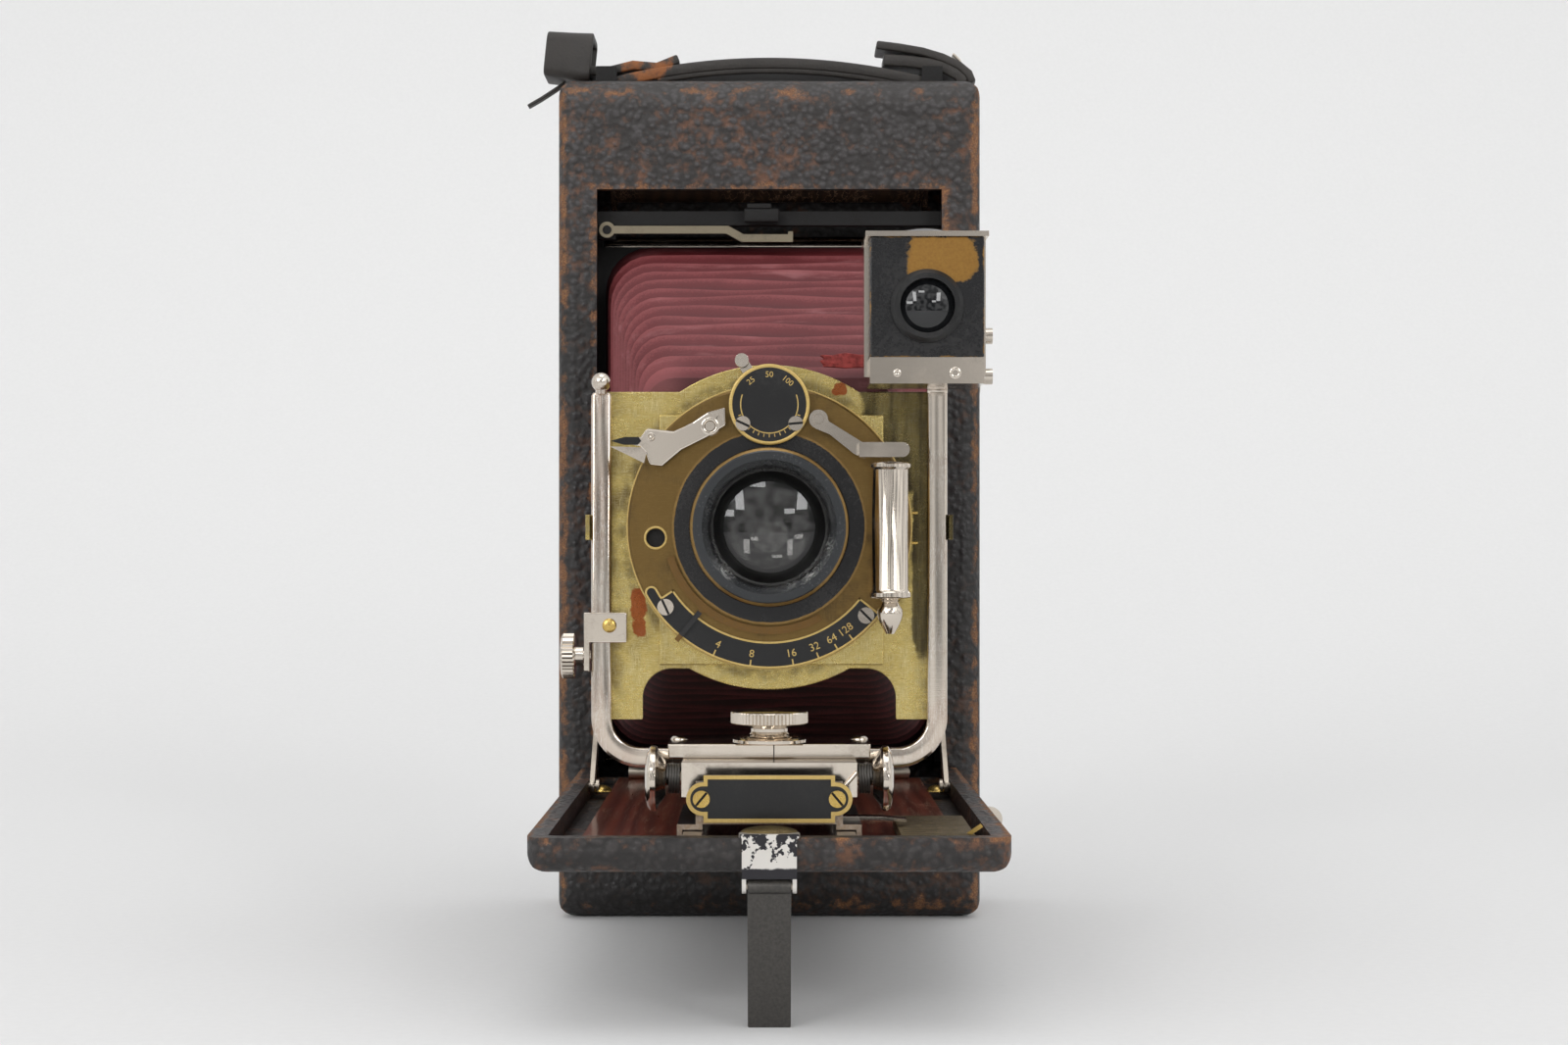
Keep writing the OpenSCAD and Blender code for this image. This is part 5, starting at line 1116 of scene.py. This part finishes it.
def makeGlass(k=lensShape):
    back, r, small = corners("lens_glass")[1].y, k["radius"], k["rearRadius"]
    faces = bulge(r, *k["front"], -1) + bulge(r, *k["inner"], 1)[::-1]
    bm = bmesh.new()
    turned(bm, faces, (0, 0, lensZ), (0, 1, 0), 96)
    eye = bulge(small, k["rear"][0], back - k["rear"][1], 1)
    eye += bulge(small, k["rearInner"][0], back - k["rearInner"][1], -1)[::-1]
    turned(bm, eye, (0, 0, lensZ), (0, 1, 0), 96)
    piece("lensGlass", bm, "lens", "front", ["lens_glass"], 60)
    # A near-black disc behind the front glass: painted shade inside the lens.
    shadeDisc = bmesh.new()
    rod(shadeDisc, (0, k["shadeDiscY"], lensZ), (0, 1, 0), r - 0.1, 0.2, 64)
    piece("lensShadeDisc", shadeDisc, "pitch", "front")


screwSlots = {"scale": [(217.6, 65), (317.6, 45)], "scaleRadius": 30.4, "scaleY": -160.95,
              "dial": (6.1, -164.15, 135.4), "plate": (15.2, -182.55, 50.6), "long": 1.85, "short": 1.65,
              "deep": 0.03, "wide": 0.27}


def makeSlots(k=screwSlots):       # dark floors of the screws' slots: painted shade in the slots
    front, carriage = bmesh.new(), bmesh.new()
    heads = []
    for way, turn in k["scale"]:
        x, z = polar(0, lensZ, k["scaleRadius"], way)
        heads.append(((x, k["scaleY"], z), k["long"], turn))
    (dialX, *dial), (plateX, *plate) = k["dial"], k["plate"]
    heads += [((side * dialX, *dial), k["short"], 10 - 15 * side) for side in (-1, 1)]
    plates = [((side * plateX, *plate), k["long"], side * 50) for side in (-1, 1)]
    for bm, rows in ((front, heads), (carriage, plates)):
        for place, r, turn in rows:
            verts = block(bm, (-r, -k["deep"], -k["wide"]), (r, k["deep"], k["wide"]))
            bmesh.ops.transform(bm, matrix=at(*place) @ Matrix.Rotation(math.radians(turn), 4, "Y"), verts=verts)
    piece("frontSlotShade", front, "inside", "front")
    piece("plateSlotShade", carriage, "inside", "carriage")


makeSlots()
makeLeverParts()
makeDrumHole()
makeAirTube()
makeHosePins()
makeBarScrews()
makeFinderRivets()
makeBracketScrew()
makeBedParts()
makeLeatherLump()
makeCatchBlock()
makeGlass()
print("small hardware made")


# Eased arrises on the frame's metal parts

eased = {"rise_bracket": 0.3, "cross_bar": 0.35, "carriage_block": 0.35, "finder_cradle": 0.25, "finger_lever": 0.35,
         "release_lever": 0.35, "bed_clip": 0.25, "bed_braces": 0.2, "kickstand": 0.3, "left_button": 0.3,
         "right_button": 0.3, "lens_board": 0.25, "shutter_plate": 0.3, "finder_box": 0.4, "speed_selector": 0.2}
for name, width in eased.items():
    joined = nodes[name].modifiers.new("joined", "WELD")
    joined.merge_threshold = 1e-6
    arris = nodes[name].modifiers.new("arris", "BEVEL")
    arris.width, arris.segments = width * mm, 2
    arris.limit_method, arris.angle_limit = "ANGLE", math.radians(50)
print("arrises eased:", len(eased))


# Floor, soft light and the photograph's camera

photo = {"width": 1600, "height": 1066, "focal": 2600.0, "vanish": (785.0, 550.0), "eye": (0.0, -752.0, 108.7)}
light = {"leftBox": ((-0.7, -0.85, 0.7), 0.6, 1.1), "rightBox": ((0.75, -0.75, 0.75), 0.6, 0.7),
         "overBox": ((0.0, -0.3, 1.1), 0.7, 1.5), "wallWash": ((0.0, 0.3, 1.5), 1.2, 0.9),
         "lowFill": ((0.0, -1.3, 0.3), 0.9, 2.2)}
roomTone = {"front": 0.52, "side": 0.26, "above": 0.3, "seen": 0.8, "window": 7.0, "clutter": 7.0}
windows = [(-0.42, 0.42, 0.05, 0.16), (-0.6, 0.2, 0.09, 0.04), (0.46, 0.4, 0.06, 0.14), (0.3, 0.24, 0.07, 0.03),
           (-0.16, 0.6, 0.1, 0.03)]     # across, up, half width, half height, as seen from the object


def makeStage():
    bm = bmesh.new()
    bmesh.ops.create_grid(bm, x_segments=1, y_segments=1, size=3.0)
    bmesh.ops.translate(bm, vec=(0, -1.8, 0), verts=bm.verts)
    for v in bm.verts:
        v.co.y = max(v.co.y, -1.5)
    rear = [e for e in bm.edges if all(v.co.y > 1 for v in e.verts)]
    up = bmesh.ops.extrude_edge_only(bm, edges=rear)
    bmesh.ops.translate(bm, vec=(0, 0, 3), verts=only(up["geom"], "BMVert"))
    bend = [e for e in bm.edges if len(e.link_faces) == 2]
    rounded(bm, bend, 0.8, 16)
    mesh = bpy.data.meshes.new("backdrop")
    bm.to_mesh(mesh)
    bm.free()
    mesh.shade_smooth()
    sweep = bpy.data.objects.new("backdrop", mesh)
    bpy.context.scene.collection.objects.link(sweep)
    p = Paint("palePaper")
    grain = p.noise(400, 3)
    mesh.materials.append(p.finish(Base_Color=p.blend(grain, rgb(216, 216, 216), rgb(222, 222, 222)), Roughness=0.8))


def makeLights():
    for name, (place, size, power) in light.items():
        lamp = bpy.data.lights.new(name, "AREA")
        lamp.energy, lamp.shape, lamp.size = power, "DISK", size
        obj = bpy.data.objects.new(name, lamp)
        obj.location = place
        aim = Vector((0, 1.1, 0.25) if name == "wallWash" else (0, -0.08, 0.11)) - Vector(place)
        obj.rotation_euler = aim.to_track_quat("-Z", "Y").to_euler()
        obj.visible_glossy = name != "lowFill"               # the fill lifts the shadow and stays out of the metal
        bpy.context.scene.collection.objects.link(obj)
    world = bpy.data.worlds.new("studio")
    room = Paint(world, "Generated")
    clutter = room.node("ShaderNodeTexNoise", {}, Scale=roomTone["clutter"], Detail=0.0).step(0.3, 0.7)
    tone = roomTone["front"] * (0.2 + clutter * 1.4) + abs(room.x).step(0.25, 0.8) * roomTone["side"]
    tone = tone + room.z.step(0.0, 0.8) * roomTone["above"]
    for across, up, wide, tall in windows:
        pane = room.x.band(across, wide, 0.01) * room.z.band(up, tall, 0.01) * (1 - room.y.step(-0.2, -0.1))
        tone = tone + pane * roomTone["window"]
    seen = room.node("ShaderNodeLightPath", {}, out="Is Camera Ray")       # plain pale room behind the paper
    room.finish("Background", Color=(1.0, 1.0, 1.0, 1.0), Strength=tone * (1 - seen) + seen * roomTone["seen"])
    bpy.context.scene.world = world


def makeCamera():
    lens = bpy.data.cameras.new("photoLens")
    lens.sensor_width = 36.0
    lens.lens = photo["focal"] / photo["width"] * lens.sensor_width
    lens.shift_x = (photo["width"] / 2 - photo["vanish"][0]) / photo["width"]
    lens.shift_y = (photo["vanish"][1] - photo["height"] / 2) / photo["width"]
    lens.clip_start = 0.05
    eye = bpy.data.objects.new("photoEye", lens)
    eye.location = Vector(photo["eye"]) * mm
    eye.rotation_euler = (math.pi / 2, 0, 0)
    bpy.context.scene.collection.objects.link(eye)
    bpy.context.scene.camera = eye


makeStage()
makeLights()
makeCamera()
bpy.context.scene.view_settings.view_transform = "Standard"
